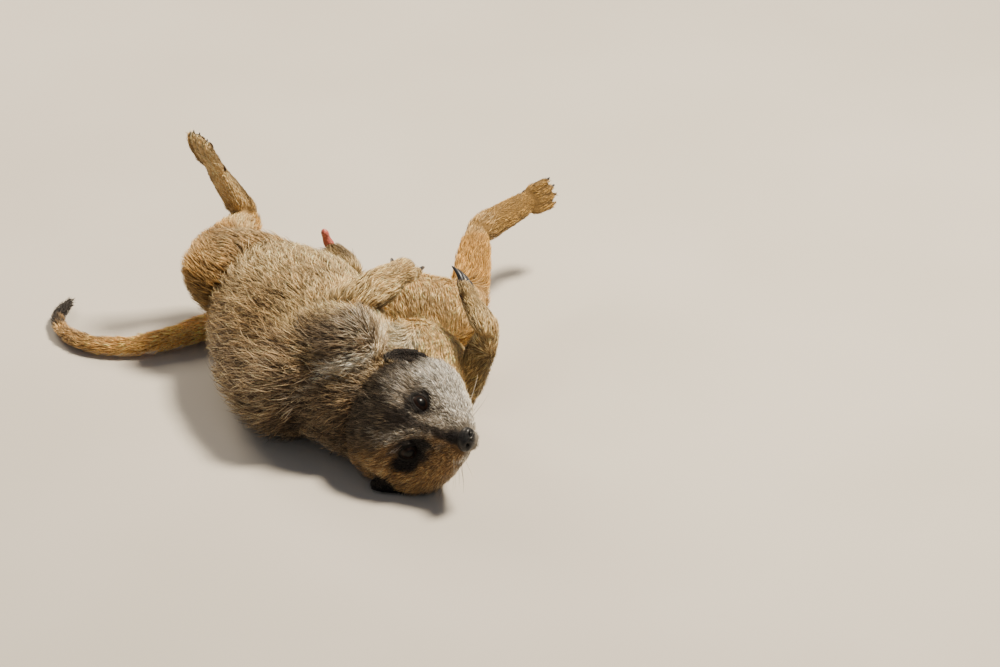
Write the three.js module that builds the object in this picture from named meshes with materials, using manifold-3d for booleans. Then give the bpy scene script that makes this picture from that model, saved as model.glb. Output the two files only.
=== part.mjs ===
// A life-size meerkat resting on its back: a still model in separate, named solids.
// Units are millimetres, +Z is up and the floor is z = 0. The head is towards -Y, and the animal's
// left side is towards -X. Each solid reaches out to the tips of the coat.
import * as THREE from "three";
import { ParametricGeometry } from "three/addons/geometries/ParametricGeometry.js";
import { mergeVertices } from "three/addons/utils/BufferGeometryUtils.js";
import Module from "manifold-3d";

const wasm = await Module();
wasm.setup();
const { Manifold, Mesh } = wasm;

const at = (x, y, z) => new THREE.Vector3(x, y, z);
const radians = THREE.MathUtils.degToRad;

// ---- driving dimensions -------------------------------------------------------------------------
const GAP = 0.4; // clearance between neighbouring solids
const FLOOR = { normal: [0, 0, 1], level: 0 };

// The head's frame starts midway between the eyes. Places in it are [forward, left, up].
const HEAD = {
  origin: at(0, 0, 33),
  forward: at(0.6, -0.755, 0.27),
  left: at(0.23, 0.47, 0.85),
};
// The skull's sections from back to front: forward, half-width, top and bottom.
const SKULL = [
  [-42, 18, 7, -19],
  [-33, 25, 14, -25],
  [-21, 29.5, 18, -27],
  [-9, 26.5, 14.5, -27],
  [1, 19, 8.5, -25],
  [9, 13, 3, -23],
  [17, 9.5, -2, -21.5],
  [25, 7.6, -4.8, -19.8],
  [31, 6, -6.8, -17.8],
];
// One cheek and whisker pad from back to front: forward, left, up and radius.
const CHEEK = [
  [-25, 16.5, -9, 13],
  [-8, 16.5, -11.5, 15],
  [7, 11, -13, 12],
  [17, 6, -13, 9],
  [26, 3, -12.5, 6],
];
const EYE = { place: [-1, 9.7, 0.2], radius: 5.6 };
const SOCKET = { gaze: [0.79, 0.51, 0.34], depth: 5, radius: 7 };
const NOSE = { place: [27.9, 0, -9.6], radii: [4.5, 5.8, 4.4] };
// The ears. The right one is pressed forwards and under the head.
const EARS = {
  left: { place: [-21, 29.5, -3], radii: [12, 7, 3.4] },
  right: { place: [-12.5, 30.5, -4], radii: [11, 7, 3.4] },
};
const EAR_WAYS = { long: [0.62, 0.1, -0.78], out: [-0.25, 0.85, 0.05] };

// The trunk's sections from the shoulders to the tail: place, half-width from side to side,
// half-depth from back to belly, and roll, where 0 is belly up and 90 is lying on the right side.
const TRUNK = [
  { p: at(-35, 34, 30), w: 24, d: 29, roll: 78 },
  { p: at(-44, 52, 33), w: 33, d: 41, roll: 68 },
  { p: at(-54, 74, 34), w: 34.5, d: 45, roll: 58 },
  { p: at(-61, 99, 34), w: 38, d: 43.5, roll: 45 },
  { p: at(-61, 123, 31), w: 41, d: 33.5, roll: 30 },
  { p: at(-54, 146, 25.5), w: 38, d: 25.5, roll: 18 },
  { p: at(-47, 166, 20), w: 24, d: 19, roll: 12 },
];
const TRUNK_PARTS = [
  { name: "chest", fur: "flank", from: 0, to: 92 },
  { name: "belly", fur: "golden", from: 92, to: 133 },
  { name: "rump", fur: "golden", from: 133, to: 200 },
]; // the lengths of the trunk along +Y

// The neck runs from inside the skull to inside the chest: place, half-width and half-depth.
const NECK = {
  head: [
    { place: [-18, 0, -6], w: 20, d: 17 },
    { place: [-30, 0, -6], w: 25, d: 23 },
  ],
  chest: [
    { p: at(-32, 44, 29), w: 28, d: 28 },
    { p: at(-43, 56, 33), w: 22, d: 22 },
  ],
};

// Legs: their joints from the body outwards, and the radii at the start, middle and end of a bone.
const LEGS = [
  {
    side: "left",
    bones: ["upper_arm", "forearm"],
    joints: [at(-27, 38, 54), at(-49, 58, 53), at(-7, 82, 73)],
    radii: [
      [17, 17, 14],
      [13.5, 12, 9.2],
    ],
  },
  {
    side: "right",
    bones: ["upper_arm", "forearm"],
    joints: [at(-8, 61, 30), at(19.5, 57, 18), at(35, 51, 56)],
    radii: [
      [30, 27, 14],
      [11.5, 9.6, 8],
    ],
  },
  {
    side: "left",
    bones: ["thigh", "shank"],
    joints: [at(-68, 146, 30), at(-106, 128, 53), at(-86, 177, 52)],
    radii: [
      [26, 25, 16],
      [13.5, 12, 10],
    ],
  },
  {
    side: "right",
    bones: ["thigh", "shank"],
    joints: [at(-26, 134, 27), at(23, 121, 27), at(28, 182, 44)],
    radii: [
      [21.5, 21.4, 17],
      [12, 11.2, 9],
    ],
  },
];

// Feet: the line of the middle bones from root to knuckles, the way that the foot's back faces, the
// radii along it, the toes' fan and bend in degrees, and the length and hook of the claws.
const FEET = [
  {
    name: "forepaw_left",
    claws: "claw_fore_left",
    root: at(-7, 82, 73),
    knuckles: at(-7, 98, 63),
    back: at(0.25, 0.4, 0.87),
    radii: [8.6, 8, 7],
    toe: { length: 8, spread: 8, bend: -35 },
    claw: { length: 11, hook: 25 },
  },
  {
    name: "forepaw_right",
    claws: "claw_fore_right",
    root: at(34.5, 51, 57),
    knuckles: at(24, 70, 66),
    back: at(0.7, 0.3, 0.65),
    radii: [8, 8, 6.8],
    toe: { length: 6, spread: 8, bend: -30 },
    claw: { length: 10.5, hook: 45 },
  },
  {
    name: "hind_foot_left",
    claws: "claw_hind_left",
    root: at(-87, 178, 54),
    knuckles: at(-103.5, 168, 88.5),
    back: at(-0.75, -0.6, 0),
    radii: [8.5, 8.4, 8],
    toe: { length: 21, spread: 2.5, bend: 5 },
    claw: { length: 3.5, hook: 40 },
  },
  {
    name: "hind_foot_right",
    claws: "claw_hind_right",
    root: at(28, 182, 44),
    knuckles: at(56.5, 219, 44),
    back: at(0.8, -0.4, 0.3),
    radii: [9.4, 8.6, 7],
    toe: { length: 14, spread: 3.5, bend: -18 },
    claw: { length: 5.5, hook: 45 },
  },
];
const TOES = [-1.5, -0.5, 0.5, 1.5]; // the places of the toes across a foot
const TOE_RADII = [3.6, 3.7, 3.1];
const CLAW_RADII = [1.5, 1.2, 0.5];

// The tail from its root to its tip, lying on the floor.
const TAIL = [
  { p: at(-48, 160, 15), w: 11 },
  { p: at(-68, 164, 11), w: 9.6 },
  { p: at(-88, 160, 8.4), w: 8.4 },
  { p: at(-108, 149, 7), w: 7.3 },
  { p: at(-127, 138, 6.1), w: 6.5 },
  { p: at(-146, 132, 5.4), w: 5.8 },
  { p: at(-164, 135, 4.9), w: 5.3 },
  { p: at(-178, 147, 4.5), w: 4.9 },
  { p: at(-184, 165, 4.1), w: 4.5 },
  { p: at(-179, 184, 3.5), w: 3.9 },
];
const TAIL_PARTS = [
  { name: "tail_base", fur: "ginger", from: 0, to: 3 },
  { name: "tail_middle", fur: "golden", from: 3, to: 5 },
  { name: "tail_curl", fur: "golden", from: 5, to: 6.5 },
  { name: "tail_tip", fur: "black", from: 6.5, to: 9 },
]; // the lengths of the tail, from station to station

// The sheath on the belly, and the bare tip that shows.
const SHEATH = [
  { p: at(-30, 118, 50), w: 5.5 },
  { p: at(-37, 130, 53), w: 7.6 },
  { p: at(-45, 141, 54), w: 7.4 },
];
const SHEATH_TIP = [
  { p: at(-44, 141, 56), w: 3 },
  { p: at(-46, 140, 62), w: 2.7 },
  { p: at(-47, 139, 67), w: 1.8 },
];

const FINISHES = {
  golden: { colour: 0xb99a68, roughness: 0.9 },
  flank: { colour: 0x8a7150, roughness: 0.9 },
  grey: { colour: 0x9c8d78, roughness: 0.9 },
  black: { colour: 0x2c241e, roughness: 0.9 },
  ginger: { colour: 0xb07a3a, roughness: 0.9 },
  nose: { colour: 0x24201f, roughness: 0.4 },
  claw: { colour: 0x1b1c20, roughness: 0.35 },
  eye: { colour: 0x120c0a, roughness: 0.05 },
  bare: { colour: 0xb8776c, roughness: 0.5 },
};

// ---- directions --------------------------------------------------------------------------------
/** A direction made exactly square to another. */
function squared(direction, to) {
  return direction.clone().addScaledVector(to, -direction.dot(to)).normalize();
}

const headForward = HEAD.forward.clone().normalize();
const headLeft = squared(HEAD.left, headForward);
const headUp = headForward.clone().cross(headLeft);

/** A direction given forward, left and up in the head's frame. The sign mirrors left to right. */
function headDirection([forward, left, up], sign = 1) {
  return at(0, 0, 0)
    .addScaledVector(headForward, forward)
    .addScaledVector(headLeft, sign * left)
    .addScaledVector(headUp, up);
}

/** A point given in the head's frame. */
function headPoint(place, sign = 1) {
  return headDirection(place, sign).add(HEAD.origin);
}

/** The animal's left at a roll of its trunk. */
function leftAt(roll) {
  return at(-Math.cos(radians(roll)), 0, Math.sin(radians(roll)));
}

// ---- shape tools -------------------------------------------------------------------------------
/** A closed geometry as a solid that can be joined and cut. */
function solid(geometry) {
  geometry.deleteAttribute("normal");
  geometry.deleteAttribute("uv");
  const merged = mergeVertices(geometry, 1e-4);
  const build = (corners) =>
    new Manifold(
      new Mesh({
        numProp: 3,
        vertProperties: merged.attributes.position.array,
        triVerts: new Uint32Array(corners),
      }),
    );
  const made = build(merged.index.array);
  return made.volume() > 0 ? made : build(merged.index.array.toReversed());
}

/** The ring of a round end: 0 at the very end, and 1 where the rounding is over. */
function rounding(share) {
  return Math.sqrt(1 - (1 - Math.min(1, share)) ** 2);
}

/**
 * An ellipse carried along a smooth path. Each station has a place p, a half-width w and a
 * half-depth d, which is w if left out. `side` gives the width's direction at a share of the way.
 * `round` holds the shares of the way that the two ends are rounded over, and `grow` makes the
 * whole shape larger.
 */
function loft(stations, { side, grow = 0, around = 10, along = 8, round = [0.3, 0.3] }) {
  const path = new THREE.CatmullRomCurve3(stations.map((s) => s.p), false, "centripetal");
  const sizes = new THREE.CatmullRomCurve3(
    stations.map((s) => at(s.w, s.d ?? s.w, 0)),
    false,
    "centripetal",
  );
  const surface = (u, v, target) => {
    const share = (1 - Math.cos(Math.PI * v)) / 2;
    const heading = path.getTangent(share);
    const across = squared(side(share), heading);
    const other = heading.clone().cross(across);
    const size = sizes.getPoint(share);
    const ring = rounding(share / round[0]) * rounding((1 - share) / round[1]);
    const angle = u * 2 * Math.PI;
    const ends = v === 0 ? -grow : v === 1 ? grow : 0;
    target
      .copy(path.getPoint(share))
      .addScaledVector(across, Math.cos(angle) * (size.x + grow) * ring)
      .addScaledVector(other, Math.sin(angle) * (size.y + grow) * ring)
      .addScaledVector(heading, ends);
  };
  return solid(new ParametricGeometry(surface, around, along));
}

/** A ball with three radii: along `forward`, along `left`, and square to both. */
function egg(centre, radii, forward, left, around, along) {
  const upward = forward.clone().cross(left);
  const surface = (u, v, target) => {
    const ring = Math.sin(Math.PI * v);
    const angle = u * 2 * Math.PI;
    target
      .copy(centre)
      .addScaledVector(forward, -Math.cos(Math.PI * v) * radii[0])
      .addScaledVector(left, Math.cos(angle) * ring * radii[1])
      .addScaledVector(upward, Math.sin(angle) * ring * radii[2]);
  };
  return solid(new ParametricGeometry(surface, around, along));
}

/** The largest single body of a solid that a cut may have parted. */
function largest(shape) {
  return shape.decompose().reduce((best, next) => (next.volume() > best.volume() ? next : best));
}

// ---- the pieces --------------------------------------------------------------------------------
const group = new THREE.Group();
const taken = []; // the space of each piece so far, larger by the gap

/** A solid as a named mesh of its own finish. */
function add(name, shape, finish) {
  const { vertProperties, triVerts } = largest(shape).getMesh();
  const geometry = new THREE.BufferGeometry();
  geometry.setAttribute("position", new THREE.BufferAttribute(vertProperties, 3));
  geometry.setIndex(new THREE.BufferAttribute(triVerts, 1));
  geometry.computeVertexNormals();
  const { colour, roughness } = FINISHES[finish];
  const material = new THREE.MeshStandardMaterial({ color: colour, roughness, metalness: 0 });
  const made = new THREE.Mesh(geometry, material);
  made.name = name;
  group.add(made);
}

/** The shape that `make` gives, cut by the floor and by the space of all pieces so far. */
function carved(make) {
  const shape = make(0).trimByPlane(FLOOR.normal, FLOOR.level);
  const cut = taken.reduce((rest, other) => rest.subtract(other), shape);
  taken.push(make(GAP));
  return cut;
}

/** Adds one piece. `make` takes how much larger to build it. */
function piece(name, finish, make) {
  add(name, carved(make), finish);
}

/** The length of a solid between two planes, given as [point, direction onwards]. */
function length(shape, [start, startWay], [end, endWay]) {
  const back = endWay.clone().negate();
  return shape
    .trimByPlane(startWay.toArray(), start.dot(startWay) + GAP / 2)
    .trimByPlane(back.toArray(), end.dot(back) + GAP / 2);
}

const SIDES = [
  ["left", 1],
  ["right", -1],
];

function makeEye(sign, grow) {
  const radius = EYE.radius + grow;
  return egg(headPoint(EYE.place, sign), [radius, radius, radius], headForward, headLeft, 12, 8);
}

function makeNose(grow) {
  const radii = NOSE.radii.map((radius) => radius + grow);
  return egg(headPoint(NOSE.place), radii, headForward, headLeft, 10, 6);
}

/** The hollow in the coat that an eye looks out of. */
function makeSocket(sign, grow) {
  const gaze = headDirection(SOCKET.gaze, sign).normalize();
  const centre = headPoint(EYE.place, sign).addScaledVector(gaze, SOCKET.depth);
  const radius = SOCKET.radius - grow;
  return egg(centre, [radius, radius, radius], gaze, squared(headLeft, gaze), 12, 8);
}

function makeHead(grow) {
  const side = () => headLeft;
  const skull = SKULL.map(([forward, w, top, bottom]) => ({
    p: headPoint([forward, 0, (top + bottom) / 2]),
    w,
    d: (top - bottom) / 2,
  }));
  let shape = loft(skull, { side, grow, around: 16, along: 13, round: [0.2, 0.06] });
  for (const [, sign] of SIDES) {
    const cheek = CHEEK.map(([forward, left, up, w]) => ({ p: headPoint([forward, left, up], sign), w }));
    shape = shape.add(loft(cheek, { side, grow, along: 7, round: [0.25, 0.15] }));
  }
  for (const [, sign] of SIDES) shape = shape.subtract(makeSocket(sign, grow));
  return shape;
}

function makeEar({ place, radii }, sign, grow) {
  const long = headDirection(EAR_WAYS.long, sign).normalize();
  const out = squared(headDirection(EAR_WAYS.out, sign), long);
  const grown = radii.map((radius) => radius + grow);
  return egg(headPoint(place, sign), grown, long, out, 12, 8);
}

function makeTrunk(grow) {
  const last = TRUNK.length - 1;
  const side = (share) => {
    const index = Math.min(last - 1, Math.floor(share * last));
    const rolls = [TRUNK[index].roll, TRUNK[index + 1].roll];
    return leftAt(THREE.MathUtils.lerp(...rolls, share * last - index));
  };
  return loft(TRUNK, { side, grow, around: 22, along: 18, round: [0.12, 0.14] });
}

function makeNeck(grow) {
  const stations = [...NECK.head.map(({ place, w, d }) => ({ p: headPoint(place), w, d })), ...NECK.chest];
  return loft(stations, { side: () => headLeft, grow, around: 14, along: 8, round: [0.2, 0.2] });
}

/** One bone's length of a leg: a spindle whose ends round off about the joints. */
function makeBone(start, end, radii, grow) {
  const run = end.clone().sub(start).normalize();
  const stations = radii.map((radius, step) => ({
    p: start.clone().lerp(end, step / 2).addScaledVector(run, (step / 2 - 0.5) * radius),
    w: radius,
  }));
  const side = squared(at(0, 0, 1), run);
  return loft(stations, { side: () => side, grow });
}

/** A foot's own directions, and its toes with a heading that can be turned towards the sole. */
function layOut({ root, knuckles, back, radii, toe }) {
  const run = knuckles.clone().sub(root).normalize();
  const dorsal = squared(back, run);
  const across = dorsal.clone().cross(run);
  const toes = TOES.map((place) => {
    const fan = radians(toe.spread * place);
    const flat = run.clone().multiplyScalar(Math.cos(fan)).addScaledVector(across, Math.sin(fan));
    const heading = (turn) => {
      const angle = radians(toe.bend + turn);
      return flat.clone().multiplyScalar(Math.cos(angle)).addScaledVector(dorsal, -Math.sin(angle));
    };
    const start = knuckles.clone().addScaledVector(across, place * radii[2] * 0.52);
    const reach = toe.length * (1 - 0.12 * Math.abs(place));
    return { start, heading, tip: start.clone().addScaledVector(heading(0), reach) };
  });
  return { run, across, toes };
}

function makeClaw({ heading, tip }, across, { length: reach, hook }, grow) {
  const bent = tip.clone().addScaledVector(heading(0), reach * 0.45);
  const places = [
    tip.clone().addScaledVector(heading(0), -2),
    bent,
    bent.clone().addScaledVector(heading(hook), reach * 0.6),
  ];
  const stations = places.map((p, step) => ({ p, w: CLAW_RADII[step], d: CLAW_RADII[step] * 0.8 }));
  return loft(stations, { side: () => across, grow, around: 6, along: 4, round: [0.2, 0.2] });
}

function makeFoot({ root, knuckles, radii }, { run, across, toes }, grow) {
  const side = () => across;
  const sole = [
    { p: root.clone().addScaledVector(run, -radii[0] * 0.6), w: radii[0] },
    { p: root.clone().lerp(knuckles, 0.5), w: radii[1], d: radii[1] * 0.85 },
    { p: knuckles.clone().addScaledVector(run, 3), w: radii[2] * 1.15, d: radii[2] * 0.62 },
  ];
  let shape = loft(sole, { side, grow, along: 6 });
  for (const { start, tip } of toes) {
    const places = [start.clone().addScaledVector(run, -4), start.clone().lerp(tip, 0.55), tip];
    const digit = places.map((p, step) => ({ p, w: TOE_RADII[step] }));
    shape = shape.add(loft(digit, { side, grow, around: 6, along: 4 }));
  }
  return shape;
}

function makeTail(grow) {
  const side = () => at(0, 0, 1);
  return loft(TAIL, { side, grow, around: 10, along: 16, round: [0.04, 0.04] });
}

// ---- assembly: a piece that is made earlier keeps its whole shape ---------------------------------
for (const [side, sign] of SIDES) piece(`eye_${side}`, "eye", (grow) => makeEye(sign, grow));
piece("nose", "nose", makeNose);
piece("head", "grey", makeHead);
for (const [side, sign] of SIDES) piece(`ear_${side}`, "black", (grow) => makeEar(EARS[side], sign, grow));

const trunk = carved(makeTrunk);
const onwards = at(0, 1, 0);
for (const { name, fur, from, to } of TRUNK_PARTS) {
  add(name, length(trunk, [at(0, from, 0), onwards], [at(0, to, 0), onwards]), fur);
}
piece("neck", "flank", makeNeck);

for (const { side, bones, joints, radii } of LEGS) {
  bones.forEach((bone, index) => {
    const ends = [joints[index], joints[index + 1]];
    piece(`${bone}_${side}`, "golden", (grow) => makeBone(...ends, radii[index], grow));
  });
}
for (const foot of FEET) {
  const layout = layOut(foot);
  layout.toes.forEach((toe, index) => {
    const name = `${foot.claws}_${index + 1}`;
    piece(name, "claw", (grow) => makeClaw(toe, layout.across, foot.claw, grow));
  });
  piece(foot.name, "golden", (grow) => makeFoot(foot, layout, grow));
}

const tail = carved(makeTail);
const tailPath = new THREE.CatmullRomCurve3(TAIL.map((s) => s.p), false, "centripetal");
const tailPlane = (station) => {
  const share = station / (TAIL.length - 1);
  const way = tailPath.getTangent(share);
  const past = station === 0 ? -20 : station === TAIL.length - 1 ? 20 : 0;
  return [tailPath.getPoint(share).addScaledVector(way, past), way];
};
for (const { name, fur, from, to } of TAIL_PARTS) {
  add(name, length(tail, tailPlane(from), tailPlane(to)), fur);
}

const sideways = () => at(1, 0, 0);
piece("sheath_tip", "bare", (grow) => loft(SHEATH_TIP, { side: sideways, grow, around: 8, along: 6 }));
piece("sheath", "golden", (grow) => loft(SHEATH, { side: sideways, grow, along: 8 }));

// ---- the middle of the model's footprint is the origin ---------------------------------------------
const box = new THREE.Box3().setFromObject(group);
const middle = box.getCenter(at(0, 0, 0));
group.position.set(-middle.x, -middle.y, -box.min.z);

export default group;
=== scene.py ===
"""A life-size meerkat lying on its back: one skin, a coat of mesh tufts, eyes, nose and claws.

The animal is worked out in millimetres in its own pose frame, whose origin is on the floor below the
middle of the eyes, and then moved into the model's frame in metres. X runs to the right of the view
from the head, Y away from the head and Z up.
"""

from __future__ import annotations

import logging
import math
from collections.abc import Iterator, Sequence
from dataclasses import dataclass, field
from enum import Enum

import bmesh
import bpy
import numpy as np
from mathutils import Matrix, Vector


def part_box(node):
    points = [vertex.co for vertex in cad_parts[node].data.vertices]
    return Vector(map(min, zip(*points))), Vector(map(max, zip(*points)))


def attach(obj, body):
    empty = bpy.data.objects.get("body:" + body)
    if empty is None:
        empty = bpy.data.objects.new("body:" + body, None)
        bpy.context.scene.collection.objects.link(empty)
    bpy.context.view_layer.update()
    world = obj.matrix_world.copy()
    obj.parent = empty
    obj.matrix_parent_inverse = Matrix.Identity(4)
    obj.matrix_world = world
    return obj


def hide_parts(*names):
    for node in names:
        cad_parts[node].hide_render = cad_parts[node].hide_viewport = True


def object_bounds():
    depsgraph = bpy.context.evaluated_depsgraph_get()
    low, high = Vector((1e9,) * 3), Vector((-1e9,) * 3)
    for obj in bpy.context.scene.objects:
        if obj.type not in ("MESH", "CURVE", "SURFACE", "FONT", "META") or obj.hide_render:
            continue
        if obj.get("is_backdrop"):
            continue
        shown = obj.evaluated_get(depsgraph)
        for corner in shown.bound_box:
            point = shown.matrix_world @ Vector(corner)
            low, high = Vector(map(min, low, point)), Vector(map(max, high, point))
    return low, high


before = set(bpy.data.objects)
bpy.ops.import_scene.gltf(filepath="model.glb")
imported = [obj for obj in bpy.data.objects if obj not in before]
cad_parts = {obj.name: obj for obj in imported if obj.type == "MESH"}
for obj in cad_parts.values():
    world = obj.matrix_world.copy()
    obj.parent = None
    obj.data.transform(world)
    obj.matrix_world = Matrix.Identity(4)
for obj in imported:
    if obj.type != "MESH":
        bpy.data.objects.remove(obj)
CAD_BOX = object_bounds()

Array = np.ndarray
Shape = tuple[Array, Array]  # points and triangles
Pair = tuple[float, float]
Triple = tuple[float, float, float]
Colour = tuple[int, int, int]  # as on a screen, 0 to 255
Object = bpy.types.Object
Mesh = bpy.types.Mesh
Material = bpy.types.Material
Socket = bpy.types.NodeSocket
LOG = logging.getLogger("meerkat")
MM = 0.001
TAU = 2 * math.pi
BODY = "root"
SIDES = (("left", 1.0), ("right", -1.0))
COAT_COLOUR = "Coat"
MAP = "OFBake"
# The sine of a place times these, less its whole part, is as good as a random number.
HASH_TURNS = np.array([[127.1, 269.5, 419.2], [311.7, 183.3, 371.9], [74.7, 246.1, 113.5]])
HASH_SIZE = 43758.5453
MARK_TURN, MARK_SIZE = 0.37, 9631.7


# ---- small maths ----
def rows(*values: Sequence[float]) -> Array:
    """Rows of numbers, or one row, as an array."""
    return np.array(values, float)


def unit(vectors: Array) -> Array:
    """Vectors along the last axis at length one."""
    return vectors / np.maximum(np.linalg.norm(vectors, axis=-1, keepdims=True), 1e-12)


def dot(first: Array, second: Array) -> Array:
    """Products of vectors along the last axis."""
    return np.sum(first * second, axis=-1)


def squared(vectors: Array, to: Array) -> Array:
    """Directions made square to others, at length one."""
    return unit(vectors - dot(vectors, to)[..., None] * to)


def step(values: Array, low: float, high: float) -> Array:
    """A smooth step: 0 at `low`, 1 at `high`, and 3x^2 - 2x^3 between. Either may be the larger."""
    share = np.clip((values - low) / (high - low), 0, 1)
    return share * share * (3 - 2 * share)


def bell(values: Array) -> Array:
    """1 at 0, falling as exp(-x^2)."""
    return np.exp(-np.square(values))


def mixed(first: Array, second: Array, share: Array) -> Array:
    """Rows of `first` and `second` mixed by a share for each row."""
    return first + (second - first) * np.asarray(share)[..., None]


def linear(colour: Sequence[float]) -> Array:
    """A screen colour of 0 to 255 as linear light, as shaders and attributes hold it."""
    share = np.array(colour, float) / 255
    return np.where(share <= 0.04045, share / 12.92, ((share + 0.055) / 1.055) ** 2.4)


@dataclass(frozen=True)
class Ripple:
    """Smooth noise of about -1 to 1: a sum of plane waves of random direction and phase.

    Attributes:
        size: the wave length, in the units of the points.
        seed: the seed of the directions and phases.
        waves: how many waves are added.
    """

    size: float
    seed: int
    waves: int = 9

    def __call__(self, points: Array) -> Array:
        """The sum of sin(k.p + phase) at the points, over the root of half the number of waves."""
        draw = np.random.default_rng(self.seed)
        pace = unit(draw.normal(size=(self.waves, 3))) * TAU / self.size
        pace *= draw.uniform(0.6, 1.6, (self.waves, 1))
        phase = draw.uniform(0, TAU, self.waves)
        return np.sin(points @ pace.T + phase).sum(1) / math.sqrt(self.waves / 2)


def cell_centres(points: Array, size: Array, seed: float) -> tuple[Array, Array]:
    """The nearest of the jittered centres of a grid of cells, for each point.

    Args:
        points: the places, (n, 3).
        size: the cells' width, one for all.
        seed: changes the jitter.

    Returns:
        The centre that each point belongs to, (n, 3), and a number from 0 to 1 for each centre.
    """
    home = np.floor(points / size)
    best = np.full(len(points), np.inf)
    centre = np.zeros_like(points)
    for shift in np.ndindex(3, 3, 3):
        cell = home + np.array(shift) - 1
        jitter = np.sin(cell @ HASH_TURNS + seed) * HASH_SIZE
        spot = (cell + jitter - np.floor(jitter)) * size
        away = dot(spot - points, spot - points)
        nearer = away < best
        best = np.where(nearer, away, best)
        centre = np.where(nearer[:, None], spot, centre)
    mark = np.sin(centre @ HASH_TURNS[0] * MARK_TURN) * MARK_SIZE
    return centre, mark - np.floor(mark)


def squares(points: Array, spots: Array) -> Array:
    """The squares of the distances from points to spots: p.p - 2 p.s + s.s, a row for each point."""
    return dot(points, points)[:, None] - 2 * points @ spots.T + dot(spots, spots)


def curve(knots: Array, shares: Array) -> Array:
    """A centripetal Catmull-Rom curve through the knots, at shares of the way from 0 to 1.

    Between two knots it is the cubic whose end slopes come from the distances to the neighbouring
    knots, each to the power of a half.
    """
    knots = np.vstack([2 * knots[0] - knots[1], knots, 2 * knots[-1] - knots[-2]])
    place = np.clip(shares, 0, 1) * (len(knots) - 3)
    index = np.minimum(place.astype(int), len(knots) - 4)
    share = (place - index)[:, None]
    gaps = np.sqrt(np.linalg.norm(np.diff(knots, axis=0), axis=1))
    gaps = np.where(gaps < 0.01, 1.0, gaps)
    before, gap, after = (gaps[index + hop][:, None] for hop in range(3))
    a, b, c, d = (knots[index + hop] for hop in range(4))
    start = ((b - a) / before - (c - a) / (before + gap) + (c - b) / gap) * gap
    end = ((c - b) / gap - (d - b) / (gap + after) + (d - c) / after) * gap
    square = -3 * b + 3 * c - 2 * start - end
    cube = 2 * b - 2 * c + start + end
    return b + start * share + square * share**2 + cube * share**3


# ---- meshes ----
def make_mesh(name: str, points: Array, faces: Array, smooth: bool = True) -> Mesh:
    """A mesh from arrays.

    Args:
        name: the mesh's name.
        points: corners in metres, (n, 3).
        faces: corner numbers, (m, 3) or (m, 4).
        smooth: whether it is shaded smooth.

    Returns:
        The mesh.
    """
    mesh = bpy.data.meshes.new(name)
    count, sides = faces.shape
    mesh.vertices.add(len(points))
    mesh.vertices.foreach_set("co", np.ascontiguousarray(points, np.float32).ravel())
    mesh.loops.add(count * sides)
    mesh.loops.foreach_set("vertex_index", np.ascontiguousarray(faces, np.int32).ravel())
    mesh.polygons.add(count)
    mesh.polygons.foreach_set("loop_start", np.arange(0, count * sides, sides, dtype=np.int32))
    mesh.polygons.foreach_set("use_smooth", np.full(count, smooth))
    mesh.update(calc_edges=True)
    return mesh


def make_object(name: str, held: bpy.types.ID) -> Object:
    """An object at the origin that holds a mesh, a light or a camera."""
    made = bpy.data.objects.new(name, held)
    bpy.context.scene.collection.objects.link(made)
    return made


def colour_in(mesh: Mesh, colours: Array) -> None:
    """Gives each corner point of a mesh its coat colour, (n, 3) in linear light."""
    layer = mesh.color_attributes.new(name=COAT_COLOUR, type="FLOAT_COLOR", domain="POINT")
    solid = np.column_stack([np.clip(colours, 0, 1), np.ones(len(colours))])
    layer.data.foreach_set("color", solid.astype(np.float32).ravel())


def read(items: Sequence[object], name: str, width: int, kind: type) -> Array:
    """One property of all of a mesh's items, with `width` numbers for each, (n, width)."""
    flat = np.empty(len(items) * width, kind)
    items.foreach_get(name, flat)
    return flat.reshape(-1, width)


def read_points(mesh: Mesh) -> Array:
    """The corners of a mesh, (n, 3)."""
    return read(mesh.vertices, "co", 3, np.float32).astype(float)


def read_faces(mesh: Mesh) -> Array:
    """The corner numbers of a mesh of triangles, (n, 3)."""
    return read(mesh.loops, "vertex_index", 1, np.int32).reshape(-1, 3)


def read_edges(mesh: Mesh) -> Array:
    """The corner numbers of a mesh's edges, (n, 2)."""
    return read(mesh.edges, "vertices", 2, np.int32)


def read_map(mesh: Mesh) -> Array:
    """Where each corner of each triangle lies on a mesh's unwrap, (n, 3, 2)."""
    return read(mesh.uv_layers[MAP].data, "uv", 2, np.float32).reshape(-1, 3, 2).astype(float)


def halved(a: Array, b: Array, c: Array, d: Array) -> Array:
    """Two triangles for each cell of a grid, given the numbers of its four corners in turn."""
    return np.concatenate([np.stack([a, b, c], -1), np.stack([a, c, d], -1)]).reshape(-1, 3)


def round_ring(count: int) -> Array:
    """Angles once around a ring, (1, count, 1)."""
    return np.linspace(0, TAU, count, endpoint=False)[None, :, None]


def tube(rings: Array) -> Shape:
    """Closes rings of points into a solid skin, with a point in the middle of each end.

    Args:
        rings: (n, k, 3), turning left about the way from the first ring to the last.

    Returns:
        The points and the triangles: two for each cell of the grid and a fan at each end.
    """
    count, around = rings.shape[:2]
    points = np.vstack([rings.reshape(-1, 3), rings[0].mean(0), rings[-1].mean(0)])
    here = np.arange(around)
    there = (here + 1) % around
    row = np.arange(count - 1)[:, None] * around
    cells = halved(row + here, row + there, row + around + there, row + around + here)
    first, last = count * around, count * around + 1
    top = (count - 1) * around
    start = np.stack([there, here, np.full(around, first)], 1)
    end = np.stack([top + here, top + there, np.full(around, last)], 1)
    return points, np.vstack([cells, start, end])


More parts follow.
